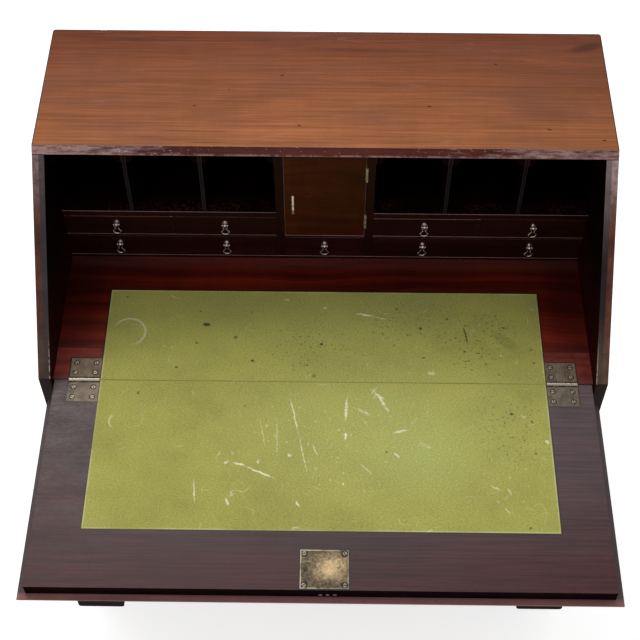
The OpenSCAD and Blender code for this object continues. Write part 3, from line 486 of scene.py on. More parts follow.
def let_in(recipe, colour, plates, reach=2.8 * MM):
    """Darkens wood just outside the plates and leather that are let into it: dirt and painted shade in the
    gap.
    """
    line = None
    for low, high in plates:
        gap = edge_gap(recipe, recipe.place(), low, high)
        near = recipe.span(gap, -reach, 1.4 * MM - reach)
        line = near if line is None else recipe.sum("MAXIMUM", line, near)
    return recipe.mix(recipe.times(line, 0.8), colour, DIRT_AND_SHADE)


def board_plates():
    """Reach of the leather and the hinge leaves let into the writing board."""
    leaves = [reach for reach in solids("fixed_hinge_leaves") if reach[1].z < CUPBOARD_Z]
    return [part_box("board_leather"), *leaves]


def fall_plates():
    """Reach of the leather, the lock and the hinge leaves let into the fall."""
    return [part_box("fall_leather"), (LOCK_LOW, LOCK_HIGH), *solids("fall_hinge_leaves")]


def level_place(recipe):
    """Coordinates from the hinge line, flattened onto the writing surface."""
    return recipe.scaled(recipe.place(), (1, 1, 0), (0, -HINGE_Y, 0))


def above_board(recipe):
    """How high a place lies above the writing surface."""
    return recipe.less(recipe.axis(recipe.place(), 2), WRITE_Z)


def from_middle(recipe):
    """How far a place lies to the left or right of the desk's middle."""
    return recipe.off(recipe.axis(recipe.place(), 0))


# Mesh work


def joined(node):
    """A CAD node's mesh with its corners joined."""
    bm = bmesh.new()
    bm.from_mesh(frame["nodes"][node].data)
    bmesh.ops.remove_doubles(bm, verts=bm.verts, dist=WELD)
    return bm


def welded(node):
    """A CAD node's mesh with its corners joined and its flat faces whole."""
    bm = joined(node)
    bmesh.ops.dissolve_limit(bm, angle_limit=FLAT_ANGLE, verts=bm.verts, edges=bm.edges)
    return bm


def boards_of(bm):
    """The faces of each separate board in a mesh."""
    left = set(bm.faces)
    while left:
        board, edge = [], [left.pop()]
        while edge:
            face = edge.pop()
            board.append(face)
            near = {n for e in face.edges for n in e.link_faces} & left
            left -= near
            edge.extend(near)
        yield board


def in_order(bm):
    """A mesh's boards from left to right, so that each run draws the same numbers for them."""
    return sorted(boards_of(bm), key=lambda board: tuple(reach_of(board)[0]))


def reach_of(faces):
    """Lowest and highest corner of some faces."""
    points = [v.co for f in faces for v in f.verts]
    low = Vector(min(p[n] for p in points) for n in range(3))
    high = Vector(max(p[n] for p in points) for n in range(3))
    return low, high


def solids(node):
    """Lowest and highest corner of each solid in a CAD node."""
    bm = welded(node)
    found = [reach_of(board) for board in boards_of(bm)]
    bm.free()
    return found


def keep_boards(bm, wanted):
    """Deletes the boards that a test on their corners leaves out."""
    for board in list(boards_of(bm)):
        if not wanted(*reach_of(board)):
            verts = {v for f in board for v in f.verts}
            bmesh.ops.delete(bm, geom=list(verts), context="VERTS")


def ease(bm, width, finish=-1, steps=2):
    """Rounds every arris and gives it a finish by number, or at -1 the one of its board."""
    sharp = [e for e in bm.edges if e.is_manifold and e.calc_face_angle(0) > ARRIS_ANGLE]
    bmesh.ops.bevel(
        bm, geom=sharp, offset=width, offset_type="OFFSET", segments=steps, profile=0.5,
        affect="EDGES", clamp_overlap=True, material=finish,
    )


def grain_axes(low, high, along=None):
    """Unit vectors along, across and through a board: its grain follows its longest side."""
    size = high - low
    order = sorted(range(3), key=lambda n: -size[n])
    if along is not None:
        order.remove(along)
        order.insert(0, along)
    return [AXES[n] for n in order]


def lay_grain(bm, name, along=None, slanted=None):
    """Writes each corner's place in the grain. Slanted faces may take their own axes."""
    layer = bm.loops.layers.float_vector.new("grain")
    draw = random.Random(name)
    for board in in_order(bm):
        axes = grain_axes(*reach_of(board), along)
        shift = Vector((draw.uniform(0, 9), draw.uniform(0, 9), draw.uniform(0, 9)))
        for face in board:
            used = slanted if slanted and on_slope(face.normal) else axes
            for loop in face.loops:
                loop[layer] = Vector(loop.vert.co.dot(a) for a in used) + shift


def on_slope(normal):
    """True for a face that lies on the desk's slope."""
    return normal.y < -0.6 and normal.z > 0.6


def make_piece(bm, name, body, nodes, materials, choose=None):
    """Turns a mesh into a piece that rides on a body and stands for CAD nodes."""
    mesh = bpy.data.meshes.new(name)
    for material in materials:
        mesh.materials.append(material)
    for face in bm.faces:
        face.smooth = True
        if choose:
            face.material_index = choose(face)
    bm.to_mesh(mesh)
    bm.free()
    piece = bpy.data.objects.new(name, mesh)
    bpy.context.scene.collection.objects.link(piece)
    mesh.set_sharp_from_angle(angle=SHADE_ANGLE)
    piece.modifiers.new("even shading", "WEIGHTED_NORMAL").keep_sharp = True
    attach(piece, body)
    if nodes:
        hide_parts(*nodes)
    return piece


def joinery(node, name, materials, arris=0.8 * MM, along=None, wanted=None,
            choose=None, slanted=None, shape=None):
    """An eased copy of a CAD node's boards, with its grain laid.

    The first material covers the boards and the second, where given, their arrises.
    """
    bm = welded(node)
    if wanted:
        keep_boards(bm, wanted)
    if shape:
        shape(bm)
    ease(bm, arris, ARRIS if len(materials) > 1 else -1)
    lay_grain(bm, name, along, slanted)
    body = frame["nodes"][node]["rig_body"]
    return make_piece(bm, name, body, [node], materials, choose)


def dress(node, material):
    """Gives a CAD node whose shape is right its own finish."""
    mesh = frame["nodes"][node].data
    mesh.materials.clear()
    mesh.materials.append(material)


# Sizes and colours that may be changed


def tint(name, description, default):
    """A colour setting."""
    return FloatVectorProperty(
        name=name, description=description, default=default, subtype="COLOR", min=0.0, max=1.0
    )


def length(name, description, default, top):
    """A length setting, in metres."""
    return FloatProperty(
        name=name, description=description, default=default, min=0.0, max=top,
        unit="LENGTH", precision=5,
    )


class DeskWood(bpy.types.PropertyGroup):
    """Tones of the desk's woods and the rounding of their arrises."""

    # The top's back and front tones are painted light: darker at the back, lighter at the front
    top_shaded_back: tint("Top, back", "Polish at the back of the top", (0.133, 0.0315, 0.0104))
    top_lit_front: tint("Top, front", "Faded polish at the front of the top", (0.308, 0.105, 0.035))
    bevel: tint("Front bevel", "Rubbed front edge of the top", (0.08, 0.012, 0.0075))
    nicks: tint("Nicks", "Pale bruises on the front edges", (0.56, 0.38, 0.35))
    case: tint("Sides", "Polish on the sides, base and feet", (0.1, 0.026, 0.01))
    slope: tint("Slanted edges", "Red outer half of the landing edges", (0.096, 0.028, 0.016))
    band: tint("Landing band", "Grey inner half of the landing edges", (0.042, 0.032, 0.034))
    board: tint("Writing board", "Unfaded red of the writing board", (0.1, 0.0085, 0.003))
    rail: tint("Hinge rail", "Duller rail behind the hinge line", (0.19, 0.026, 0.017))
    fall: tint("Fall", "Red-brown of the open fall", (0.044, 0.0075, 0.0085))
    lip: tint("Lip", "Rubbed lip of the fall", (0.28, 0.12, 0.115))
    fronts: tint("Drawer fronts", "Polish on the long drawers", (0.11, 0.026, 0.009))
    inner: tint("Gallery", "Dark wood of the gallery", (0.012, 0.0022, 0.0016))
    slide: tint("Slides", "Dark wood of the slides", (0.012, 0.004, 0.003))
    # The slides' dark wood is darkened further as painted shade under the open fall
    door: tint("Door", "Golden figure of the cupboard door", (0.043, 0.0068, 0.0013))
    oak: tint("Oak", "Drawer linings and back boards", (0.27, 0.15, 0.072))
    arris: length("Arris", "Rounding of the boards' arrises", 0.8 * MM, 3 * MM)


class DeskLeather(bpy.types.PropertyGroup):
    """The writing leather and its marks."""

    green: tint("Leather", "Olive green of the leather", (0.405, 0.39, 0.088))
    worn: tint("Worn middle", "Leather paled by use", (0.52, 0.52, 0.16))
    fresh: tint("Fresh patch", "Leather that kept more of its green", (0.44, 0.51, 0.145))
    stain: tint("Stain", "Ink and damp stains", (0.045, 0.045, 0.022))
    damp: tint("Damp back", "Greyer leather along the back", (0.36, 0.365, 0.13))
    scuff: tint("Scuffs", "Pale scratches down to the skin", (0.95, 0.93, 0.62))
    crack: tint("Hinge crack", "Brown wear along the hinge", (0.2, 0.15, 0.045))


class DeskBrass(bpy.types.PropertyGroup):
    """Tones of the brass, the bronze and the bone."""

    bright: tint("Brass", "Rubbed brass", (0.62, 0.46, 0.2))
    gold: tint("Lock plate", "Rubbed middle of the lock plate", (0.62, 0.45, 0.24))
    dull: tint("Patina", "Brown patina on the brass", (0.14, 0.1, 0.055))
    hinge: tint("Back hinge leaves", "Grey bronze of the fixed leaves", (0.148, 0.11, 0.073))
    leaf: tint("Front hinge leaves", "Lighter bronze of the fall's leaves", (0.15, 0.115, 0.085))
    screw: tint("Screws", "Rubbed screw heads", (0.26, 0.21, 0.16))
    bolt: tint("Bolts", "Rubbed ends of the lock's bolts", (0.75, 0.62, 0.62))
    silver: tint("Pulls", "Brass of the small pulls, rubbed pale", (0.95, 0.78, 0.78))
    bone: tint("Bone", "Inlaid chip on the cupboard door", (1.0, 0.87, 0.82))


class DeskStage(bpy.types.PropertyGroup):
    """Floor, lamps and camera."""

    sky: FloatProperty(name="Sky", description="Even light from all round", default=0.5, min=0, max=2)
    key: FloatProperty(name="Key", description="Soft lamp behind the desk", default=34, min=0, unit="POWER")
    fill: FloatProperty(name="Fill", description="Soft lamp in front", default=10, min=0, unit="POWER")
    lens: FloatProperty(name="Lens", description="Focal length in millimetres", default=74.29, min=20)


def wood():
    """The wood settings."""
    return bpy.context.scene.desk_wood


def leather():
    """The leather settings."""
    return bpy.context.scene.desk_leather


def metal():
    """The brass and bone settings."""
    return bpy.context.scene.desk_brass


def tones(colour, dark=0.5, light=1.55):
    """A darker, a plain and a lighter tone of one colour."""
    colour = Vector(colour)
    return colour * dark, colour, colour * light


# Finishes


def top_finish():
    """Top with painted light, brighter and golden towards the front, with dark spots and old streaks."""
    tone = wood()
    r = Recipe("top_painted_light")
    value, shade, height, fine = figure(r, stripe=0.5, wave=0.8, mottle=0.03, pore=0.25)
    place = level_place(r)
    back = TOP_HIGH.y - HINGE_Y
    front = TOP_LOW.y - HINGE_Y
    # Painted light: the colour runs from the shaded back tone to the lit front tone
    colour = r.mix(r.span(r.axis(place, 1), back, front, smooth=False), tone.top_shaded_back, tone.top_lit_front)
    shade = r.times(shade, r.span(value, 0.25, 0.75, 0.78, 1.22, smooth=False))
    thread = r.noise(place, (5, 260, 1), detail=4, rough=0.65, warp=0.4)
    shade = r.times(shade, r.span(thread, 0.3, 0.7, 0.72, 1.34, smooth=False))
    shade = r.times(shade, r.span(from_middle(r), 0.1, 0.45, 1.03, 0.99))
    colour = r.shaded(colour, shade)
    blush = r.noise(place, (4, 9, 1), detail=3)
    colour = r.mix(r.span(blush, 0.4, 0.7, 0.0, 0.35), colour, TOP_BLUSH)
    colour = r.mix(blots(r, place, TOP_STREAKS, sharp=1.6), colour, TOP_STREAK_TONE)
    colour = r.mix(blots(r, place, TOP_SPOTS), colour, TOP_SPOT_TONE)
    pale = scratches(r, r.scaled(place, (0.5, 7, 1)), 6, width=0.02, gaps=0.5)
    colour = r.mix(r.times(pale, 0.14), colour, TOP_SCRATCH)
    rim = edge_gap(r, r.place(), TOP_LOW - Vector((0, 1, 0)), TOP_HIGH)
    colour = r.mix(r.span(rim, 2.6 * MM, 1.2 * MM, 0.0, 0.8), colour, TOP_RIM)
    rough = r.span(fine, 0.2, 0.8, 0.5, 0.62)
    return r.finish(colour, rough, height, depth=0.1 * MM, Specular_IOR_Level=0.1)


def bevel_finish():
    """Rubbed front edge of the top, bruised grey towards both ends."""
    tone = wood()
    r = Recipe("rubbed_bevel")
    colour, _, fine = timber(r, tones(tone.bevel, 0.35, 2.0), stripe=1.3, mottle=0.1, pore=0.3)
    place = r.place()
    cloud = r.noise(place, (22, 160, 160), detail=4, rough=0.7)
    ends = r.span(r.off(r.axis(place, 0), -0.03), 0.12, 0.42, -0.16, 0.16)
    left = r.span(r.axis(place, 0), -0.12, -0.42, 0.0, 0.14)
    bruised = r.span(r.sum("ADD", cloud, r.sum("ADD", ends, left)), 0.52, 0.78, 0.0, 0.95)
    blotch = r.noise(place, (75, 260, 260), detail=4, rough=0.7)
    bruised = r.times(bruised, r.span(blotch, 0.36, 0.56, 0.45, 1.0))
    colour = r.mix(bruised, colour, r.mix(fine, tone.nicks, BEVEL_BRUISE))
    nick = r.span(r.noise(place, (190, 420, 420), detail=2), 0.68, 0.74)
    colour = r.mix(r.times(nick, 0.7), colour, BEVEL_NICK)
    up = r.less(r.axis(place, 2), TOP_LOW.z)
    rubbed = r.noise(place, (60, 10, 10), detail=4, rough=0.7)
    foot = r.times(r.span(up, 3.2 * MM, 1.0 * MM), r.span(rubbed, 0.42, 0.6, 0.05, 0.65))
    colour = r.mix(foot, colour, BEVEL_FOOT)
    return r.finish(colour, 0.42, cloud, depth=0.3 * MM, Specular_IOR_Level=0.22)


def case_finish():
    """Polished red-brown mahogany of the sides, base and feet."""
    r = Recipe("case_polish")
    colour, height, fine = timber(r, tones(wood().case, 0.45, 1.7), mottle=0.1)
    scuffs = scratches(r, r.place(), 16, width=0.004)
    colour = r.mix(r.times(scuffs, 0.35), colour, CASE_SCUFF)
    rough = r.span(fine, 0.2, 0.8, 0.3, 0.44)
    return r.finish(colour, rough, height, Specular_IOR_Level=0.35)


def front_edge_finish():
    """Front edges of the sides: case polish, with the open fall's shadow painted near black below it."""
    r = Recipe("front_edge")
    colour, height, _ = timber(r, tones(wood().case, 0.45, 1.7), mottle=0.1)
    down = r.less(WRITE_Z, r.axis(r.place(), 2))
    # Painted shadow of the open fall, darkest within 70 mm below the writing surface
    colour = r.mix(r.span(down, 0.14, 0.07, 0.0, 0.9), colour, EDGE_PAINTED_SHADOW)
    return r.finish(colour, 0.45, height, Specular_IOR_Level=0.12)


def landing_finish():
    """Edge that the fall lands on: red outside, a grey band inside, rubbed at both ends, lighter on the
    right as painted light.
    """
    tone = wood()
    r = Recipe("landing_edge")
    value, shade, height, _ = figure(r, stripe=1.0, mottle=0.06, pore=0.4)
    dark, red, light = tones(tone.slope, 0.3, 1.8)
    outer = r.ramp(value, (0.1, dark), (0.5, red), (0.9, light))
    place = r.place()
    up = above_board(r)
    # Painted light: the right edge is lighter, its grey band darker low down and lighter higher up
    right = r.span(r.axis(place, 0), -0.1, 0.1)
    even, dull, bright = (1, 1, 1), (0.35, 0.25, 0.25), (1.6, 1.6, 1.6)
    band = r.mix(right, even, r.mix(r.span(up, 0.16, 0.24), dull, bright))
    inner = r.mix(1.0, r.shaded(tone.band, r.span(value, 0, 1, 0.7, 1.35)), band, "MULTIPLY")
    beside = r.less(from_middle(r), SIDE_INNER)
    colour = r.mix(r.span(beside, *BAND_EDGE), inner, outer)
    foot = r.span(up, 0.11, 0.04, 0.0, 0.65)
    colour = r.mix(foot, colour, r.shaded(LANDING_FOOT, r.span(value, 0, 1, 0.4, 1.5)))
    head = r.span(up, 0.2, 0.28)
    cloud = r.noise(place, 120, detail=4)
    head = r.times(head, r.span(cloud, 0.3, 0.6, 0.4, 1.0))
    head = r.times(head, r.span(beside, *BAND_EDGE, 0.3, 1.0))
    colour = r.mix(head, colour, LANDING_HEAD)
    # Painted light: the right edge made lighter than the left
    colour = r.shaded(colour, r.span(right, 0.0, 1.0, 0.95, 1.6, smooth=False))
    edge = r.times(r.span(beside, 2.2 * MM, 1.0 * MM), r.span(up, 0.085, 0.02))
    colour = r.mix(r.times(edge, r.span(cloud, 0.4, 0.5)), colour, LANDING_RUB)
    return r.finish(r.shaded(colour, shade), 0.5, height, Specular_IOR_Level=0.22)


def sheltered_finish():
    """Inner faces of the sides: deep red beside the writing surface, painted shade making them nearly black
    above.
    """
    r = Recipe("inner_red_painted_shade")
    value, shade, height, _ = figure(r, stripe=0.8, mottle=0.05, pore=0.3)
    up = above_board(r)
    # Painted shade: near black from 160 mm above the writing surface, turning deep red down to it
    colour = r.ramp(r.span(up, 0.16, 0.0), (0.0, INNER_PAINTED_SHADE), (1.0, SHELTER_RED))
    shade = r.times(shade, r.span(value, 0, 1, 0.6, 1.4))
    return r.finish(r.shaded(colour, shade), 0.5, height, Specular_IOR_Level=0.06)


def plain_wood(name, colour, dark=0.5, light=1.55, rough=0.5, gloss=0.2, **kind):
    """Wood in one tone, with as much gloss as it still has."""
    r = Recipe(name)
    colour, height, fine = timber(r, tones(colour, dark, light), **kind)
    rough = r.span(fine, 0.2, 0.8, rough - 0.07, rough + 0.07)
    return r.finish(colour, rough, height, Specular_IOR_Level=gloss)


def worn_wood(name):
    """Wood at a worn arris or a thin edge, by name."""
    colour, rough, gloss = WORN_WOODS[name]
    return plain_wood(name, colour, rough=rough, gloss=gloss)


def oak_finish(name="oak_lining"):
    """Dry oak with open pores and dust."""
    r = Recipe(name)
    colour, height, _ = timber(r, tones(wood().oak, 0.6, 1.35), wave=0.6, mottle=0.04, pore=0.75)
    dust = r.noise(r.place(), 9, detail=4)
    colour = r.mix(r.span(dust, 0.5, 0.8, 0.0, 0.45), colour, OAK_DUST)
    return r.finish(colour, 0.72, height, depth=0.35 * MM, Specular_IOR_Level=0.2)


def board_finish():
    """Unfaded red of the writing board, with painted shade: lighter towards the hinges, darker towards the
    back and beside the sides.
    """
    r = Recipe("unfaded_red")
    tone = wood()
    value, shade, height, _ = figure(r, stripe=1.1, wave=1.6, mottle=0.08, pore=0.3)
    dark, red, light = tones(tone.board, 0.2, 2.1)
    colour = r.ramp(value, (0.1, dark), (0.5, red), (0.9, light))
    back = r.axis(level_place(r), 1)
    # Painted shade: darker towards the gallery and beside the sides, lighter towards the hinges
    shade = r.times(shade, r.span(back, 0.2, 0.07, 0.8, 1.5))
    shade = r.times(shade, r.span(from_middle(r), 0.37, 0.42, 1.0, 0.6))
    colour = r.shaded(colour, shade)
    colour = r.mix(r.span(back, 0.232, 0.25, 0.0, 0.28), colour, BOARD_BLOOM)
    colour = let_in(r, colour, board_plates()[:1])
    joint = r.span(r.off(back, RAIL_D), 1.8 * MM, 0.6 * MM)
    colour = r.mix(r.times(joint, 0.7), colour, DIRT_AND_SHADE)
    return r.finish(colour, 0.4, height, Specular_IOR_Level=0.12)


def rail_finish():
    """Duller rail along the hinge line, with streaks of its old polish."""
    r = Recipe("hinge_rail")
    colour, height, fine = timber(r, tones(wood().rail, 0.3, 1.7), stripe=1.5, mottle=0.12)
    patch = r.noise(r.place(), (18, 40, 1), detail=4, rough=0.65)
    colour = r.shaded(colour, r.span(patch, 0.3, 0.7, 0.6, 1.3))
    back = r.axis(level_place(r), 1)
    rubbed = r.span(r.off(back, 3.4 * MM), 2.4 * MM, 1.2 * MM, 0.0, 0.6)
    colour = r.mix(r.times(rubbed, r.span(patch, 0.3, 0.6, 0.4, 1.0)), colour, RAIL_RUB)
    colour = r.mix(r.span(back, 2.4 * MM, 1.4 * MM, 0.0, 0.85), colour, DIRT_AND_SHADE)
    colour = let_in(r, colour, board_plates())
    return r.finish(colour, r.span(fine, 0.2, 0.8, 0.38, 0.5), height, Specular_IOR_Level=0.16)


def fall_finish():
    """Purple brown of the open fall with a painted grey sheen towards the right and the hinges, painted
    light at both ends beside the hinges, redder towards its front.
    """
    r = Recipe("fall_painted_sheen")
    tone = wood()
    value, shade, height, fine = figure(r, stripe=0.9, wave=0.5, mottle=0.03, pore=0.25)
    place = level_place(r)
    dark, plain, light = tones(tone.fall, 0.45, 1.75)
    colour = r.ramp(value, (0.1, dark), (0.5, plain), (0.9, light))
    patch = r.noise(place, (5, 16, 1), detail=3)
    red = r.span(r.axis(place, 1), -0.28, -0.37, 0.0, 0.7)
    red = r.sum("ADD", r.span(patch, 0.35, 0.65, -0.2, 0.2), red)
    colour = r.mix(r.span(red, 0.0, 1.0, smooth=False), colour, FALL_RED)
    colour = r.mix(blots(r, place, FALL_STREAKS), colour, FALL_STREAK_TONE)
    # Painted reflection: a grey sheen, strongest towards the right and the hinges
    side = r.span(r.axis(place, 0), -0.2, 0.4)
    sheen_share = r.times(side, r.span(r.axis(place, 1), -0.36, -0.16, 0.1, 0.85))
    colour = r.mix(sheen_share, colour, FALL_PAINTED_SHEEN)
    # Painted light at both ends of the fall beside the hinge line
    corner = r.span(from_middle(r), 0.41, 0.45)
    corner = r.times(corner, r.span(r.axis(place, 1), -0.05, -0.01, 0.0, 0.7))
    colour = r.mix(corner, colour, FALL_CORNER_PAINTED_LIGHT)
    thread = r.noise(place, (6, 300, 1), detail=4, rough=0.65, warp=0.3)
    colour = r.shaded(colour, r.times(shade, r.span(thread, 0.3, 0.7, 0.6, 1.45)))
    colour = r.mix(r.span(r.axis(place, 1), -2.2 * MM, -1.2 * MM, 0.0, 0.6), colour, DIRT_AND_SHADE)
    colour = let_in(r, colour, fall_plates())
    bloom = r.noise(place, (14, 30, 1), detail=4)
    rough = r.span(r.sum("MULTIPLY_ADD", fine, 0.4, bloom), 0.4, 1.0, 0.28, 0.42)
    return r.finish(colour, rough, height, depth=0.1 * MM, Specular_IOR_Level=0.42)


def shelf_finish():
    """Shelf floor of dark wood, darkened further to nearly black as painted shade, with reddish dust specks
    towards its front.
    """
    r = Recipe("dusty_shelf_painted_shade")
    colour, height, _ = timber(r, tones(wood().inner * 0.35), mottle=0.2)
    place = r.place()
    near = r.span(r.axis(place, 1), GALLERY_FRONT + 45 * MM, GALLERY_FRONT + 10 * MM)
    dust = r.noise(place, 230, detail=4, rough=0.75)
    patch = r.noise(place, 14, detail=2)
    share = r.times(near, r.span(patch, 0.4, 0.6, 0.2, 1.0))
    colour = r.mix(r.times(share, r.span(dust, 0.45, 0.7)), colour, SHELF_DUST)
    return r.finish(colour, 0.7, height, Specular_IOR_Level=0.01)


def door_finish():
    """Wavy figure of the cupboard door: golden at the top left, redder at the bottom right."""
    r = Recipe("door_figure")
    value, shade, height, _ = figure(r, stripe=0.9, wave=4.0, mottle=0.12, pore=0.4)
    low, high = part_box("prospect_door")
    place = r.place()
    across = r.span(r.axis(place, 0), low.x, high.x, 0.5, 0.0, smooth=False)
    share = r.sum("ADD", across, r.span(r.axis(place, 2), low.z, high.z, 0.0, 0.5, smooth=False))
    gold = Vector(wood().door)
    lit = r.mix(share, gold * 0.8, gold * Vector((1.2, 1.45, 1.5)))
    colour = r.shaded(lit, r.times(shade, r.span(value, 0.1, 0.9, 0.35, 1.85, smooth=False)))
    return r.finish(colour, 0.42, height, Specular_IOR_Level=0.12)


def lip_finish():
    """Lip of the fall: rubbed pinkish along its front, grey along its sides, darkened at their outer edge
    by dirt and painted shade.
    """
    r = Recipe("rubbed_lip")
    tone = wood()
    colour, height, fine = timber(r, tones(tone.lip, 0.55, 1.35), stripe=1.3, mottle=0.05)
    place = r.place()
    back = r.span(r.axis(place, 1), FALL_LOW.y + 6 * MM, FALL_LOW.y + 14 * MM)
    gap = r.less(FALL_HIGH.x, from_middle(r))
    # Dirt and painted shade: the side lips darken within 1.6 mm of the fall's outer side
    dark = r.span(gap, 0.4 * MM, 1.6 * MM, 0.15, 1.0)
    side = r.shaded(r.mix(fine, LIP_DARK, LIP_GREY), dark)
    colour = r.mix(back, colour, side)
    return r.finish(colour, 0.45, height, Specular_IOR_Level=0.25)


def brass_finish(name, bright, dull, rubbed=0.5, rough=(0.3, 0.55)):
    """Old brass: patina in patches, rubbed bright between them."""
    r = Recipe(name)
    spots = r.noise(r.place(), 90, detail=5, rough=0.65)
    clouds = r.noise(r.place(), 22, detail=3)
    wear = r.sum("MULTIPLY_ADD", clouds, 0.6, r.times(spots, 0.4))
    share = r.span(wear, 0.62 - 0.3 * rubbed, 0.78 - 0.3 * rubbed)
    colour = r.mix(share, dull, bright)
    lines = r.noise(r.place(), (60, 900, 900), detail=2)
    return r.finish(
        colour, r.span(share, 0, 1, rough[1], rough[0]), r.sum("ADD", spots, lines),
        depth=0.12 * MM, Metallic=0.85,
    )


def leaf_finish(name, colour, screws):
    """Grey bronze of a hinge leaf: file marks, dirt round its screws, and dirt with painted shadow along
    the knuckle.
    """
    r = Recipe(name)
    place = r.place()
    marks = r.noise(place, (900, 60, 900), detail=2)
    cloud = r.noise(place, 70, detail=4)
    shade = r.sum("ADD", r.span(marks, 0.3, 0.7, 0.75, 1.2), r.span(cloud, 0.3, 0.7, -0.25, 0.25))
    colour = r.shaded(colour, shade)
    # Dirt and painted shadow along the leaf's edge at the knuckle
    near = r.off(r.axis(place, 1), HINGE_Y)
    dirt_and_shadow = r.sum("MAXIMUM", dirt_rings(r, screws, 5.4 * MM), r.span(near, 6.2 * MM, 4.6 * MM))
    colour = r.mix(r.times(dirt_and_shadow, 0.95), colour, DIRT_AND_SHADE)
    return r.finish(
        colour, r.span(marks, 0.3, 0.7, 0.42, 0.55), marks,
        depth=0.05 * MM, strength=0.3, Metallic=0.7,
    )


def lock_finish(screws):
    """Lock plate: rubbed golden in the middle, mottled dark to the left, bright at its rims."""
    tone = metal()
    r = Recipe("lock_plate")
    place = r.place()
    middle_x = LOCK_MIDDLE.x / MM
    middle_y = (LOCK_MIDDLE.y - HINGE_Y) / MM
    glow = blots(r, level_place(r), (
        (middle_x + 9, middle_y + 4, 76, 60, 20, 1.0), (middle_x - 6, middle_y + 8, 44, 40, 0, 0.5),
        (middle_x + 24, middle_y - 14, 40, 34, 0, 0.5),
    ), sharp=1.2)
    mottle = r.noise(place, 260, detail=4, rough=0.7)
    cloud = r.noise(place, 60, detail=3)
    share = r.sum("ADD", r.sum("MULTIPLY_ADD", glow, 0.45, mottle), r.times(cloud, 0.35))
    share = r.span(share, 0.5, 1.22, smooth=False)
    colour = r.ramp(share, (0.0, LOCK_DARK), (0.5, LOCK_DULL), (1.0, tone.gold))
    colour = r.mix(r.times(dirt_rings(r, screws, 6.0 * MM), 0.9), colour, DIRT_AND_SHADE)
    gap = edge_gap(r, place, LOCK_LOW, LOCK_HIGH)
    left = r.span(r.axis(place, 0), LOCK_HIGH.x, LOCK_LOW.x, 0.3, 0.9)
    rim = r.times(r.span(gap, 2.0 * MM, 1.0 * MM), r.span(cloud, 0.35, 0.5, 0.35, 1.0))
    colour = r.mix(r.times(rim, left), colour, LOCK_RIM)
    return r.finish(
        colour, r.span(share, 0, 1, 0.6, 0.45), mottle, depth=0.1 * MM, strength=0.3, Metallic=0.75,
    )


def dirt_rings(recipe, places, radius):
    """Discs of dirt round screw heads, in plan."""
    flat = recipe.scaled(recipe.place(), (1, 1, 0))
    near = None
    for place in places:
        off = recipe.away(flat, (place.x, place.y, 0))
        near = off if near is None else recipe.sum("MINIMUM", near, off)
    return recipe.span(near, radius, radius - 0.9 * MM)


def plain_metal(name, colour, rough=0.3, metallic=0.9):
    """Rubbed metal with a little haze."""
    r = Recipe(name)
    haze = r.noise(r.place(), 300, detail=3)
    colour = r.shaded(colour, r.span(haze, 0.3, 0.7, 0.8, 1.1))
    rough = r.span(haze, 0.3, 0.7, rough, rough + 0.12)
    return r.finish(colour, rough, haze, depth=0.02 * MM, strength=0.1, Metallic=metallic)


def dirt_finish():
    """Old polish and dirt that has gathered in screw slots and round their heads."""
    r = Recipe("dirt")
    grain = r.noise(r.place(), 700, detail=3)
    return r.finish(r.ramp(grain, (0.3, DIRT_DARK), (0.7, DIRT_PALE)), 0.8, grain)


def bone_finish():
    """Bone chip with its fibres, one crack and a soiled lower end."""
    r = Recipe("bone")
    place = r.place()
    fibre = r.noise(place, (900, 900, 90), detail=3)
    bone = Vector(metal().bone)
    colour = r.ramp(fibre, (0.25, bone * 0.75), (0.6, bone))
    crack = r.off(r.axis(place, 2), CHIP_CRACK_Z)
    colour = r.mix(r.span(crack, 2.2 * MM, 1.0 * MM, 0.0, 0.7), colour, BONE_CRACK)
    low = r.span(r.axis(place, 2), CHIP_WORN_Z + 2 * MM, CHIP_WORN_Z - 2 * MM, 0.0, 0.8)
    colour = r.mix(low, colour, BONE_SOIL)
    return r.finish(colour, 0.35, fibre, depth=0.05 * MM)


def leather_finish():
    """Olive leather with a fine grain, stains, scratches and worn edges."""
    tone = leather()
    r = Recipe("olive_leather")
    place = level_place(r)
    pits = r.noise(place, 1500, detail=2)
    weave = r.noise(place, (300, 560, 1), detail=3, rough=0.6)
    cloud = r.noise(place, (7, 10, 9), detail=6, rough=0.65)
    green = Vector(tone.green)
    colour = r.ramp(cloud, (0.3, green * 0.82), (0.52, green), (0.75, green * 1.14))
    worn = blots(r, place, WORN_PATCHES, sharp=1.0)
    colour = r.mix(worn, colour, tone.worn)
    fresh = blots(r, place, FRESH_PATCHES, sharp=1.1)
    colour = r.mix(fresh, colour, tone.fresh)
    damp = r.span(r.axis(place, 1), 0.06, 0.17)
    colour = r.mix(r.times(damp, r.span(cloud, 0.35, 0.6, 0.5, 0.15)), colour, tone.damp)
    speck = r.times(r.span(weave, 0.3, 0.7, 0.82, 1.2), r.span(pits, 0.35, 0.65, 0.93, 1.07))
    colour = r.shaded(colour, speck)
    rough_place = r.shaken(place, 160, 5 * MM)
    ring = r.off(r.away(place, RING_MIDDLE), RING_R)
    lit = r.span(r.away(place, RING_LIT), 0.03, 0.044, 1.0, 0.0)
    ring = r.times(r.span(ring, 2.6 * MM, 0.8 * MM, 0.0, 0.36), lit)
    colour = r.mix(ring, colour, tone.scuff)
    dots = r.span(r.noise(place, (170, 190, 1), detail=3), 0.605, 0.655)
    dots = r.times(dots, blots(r, place, SPECKLED, sharp=1.5))
    colour = r.mix(r.times(dots, 0.92), colour, tone.stain)
    colour = r.mix(blots(r, rough_place, LEATHER_STAINS, sharp=2.4), colour, tone.stain)
    colour = r.mix(scuff_lines(r, place, rough_place), colour, tone.scuff)
    return finish_edges(r, place, colour, cloud, pits)


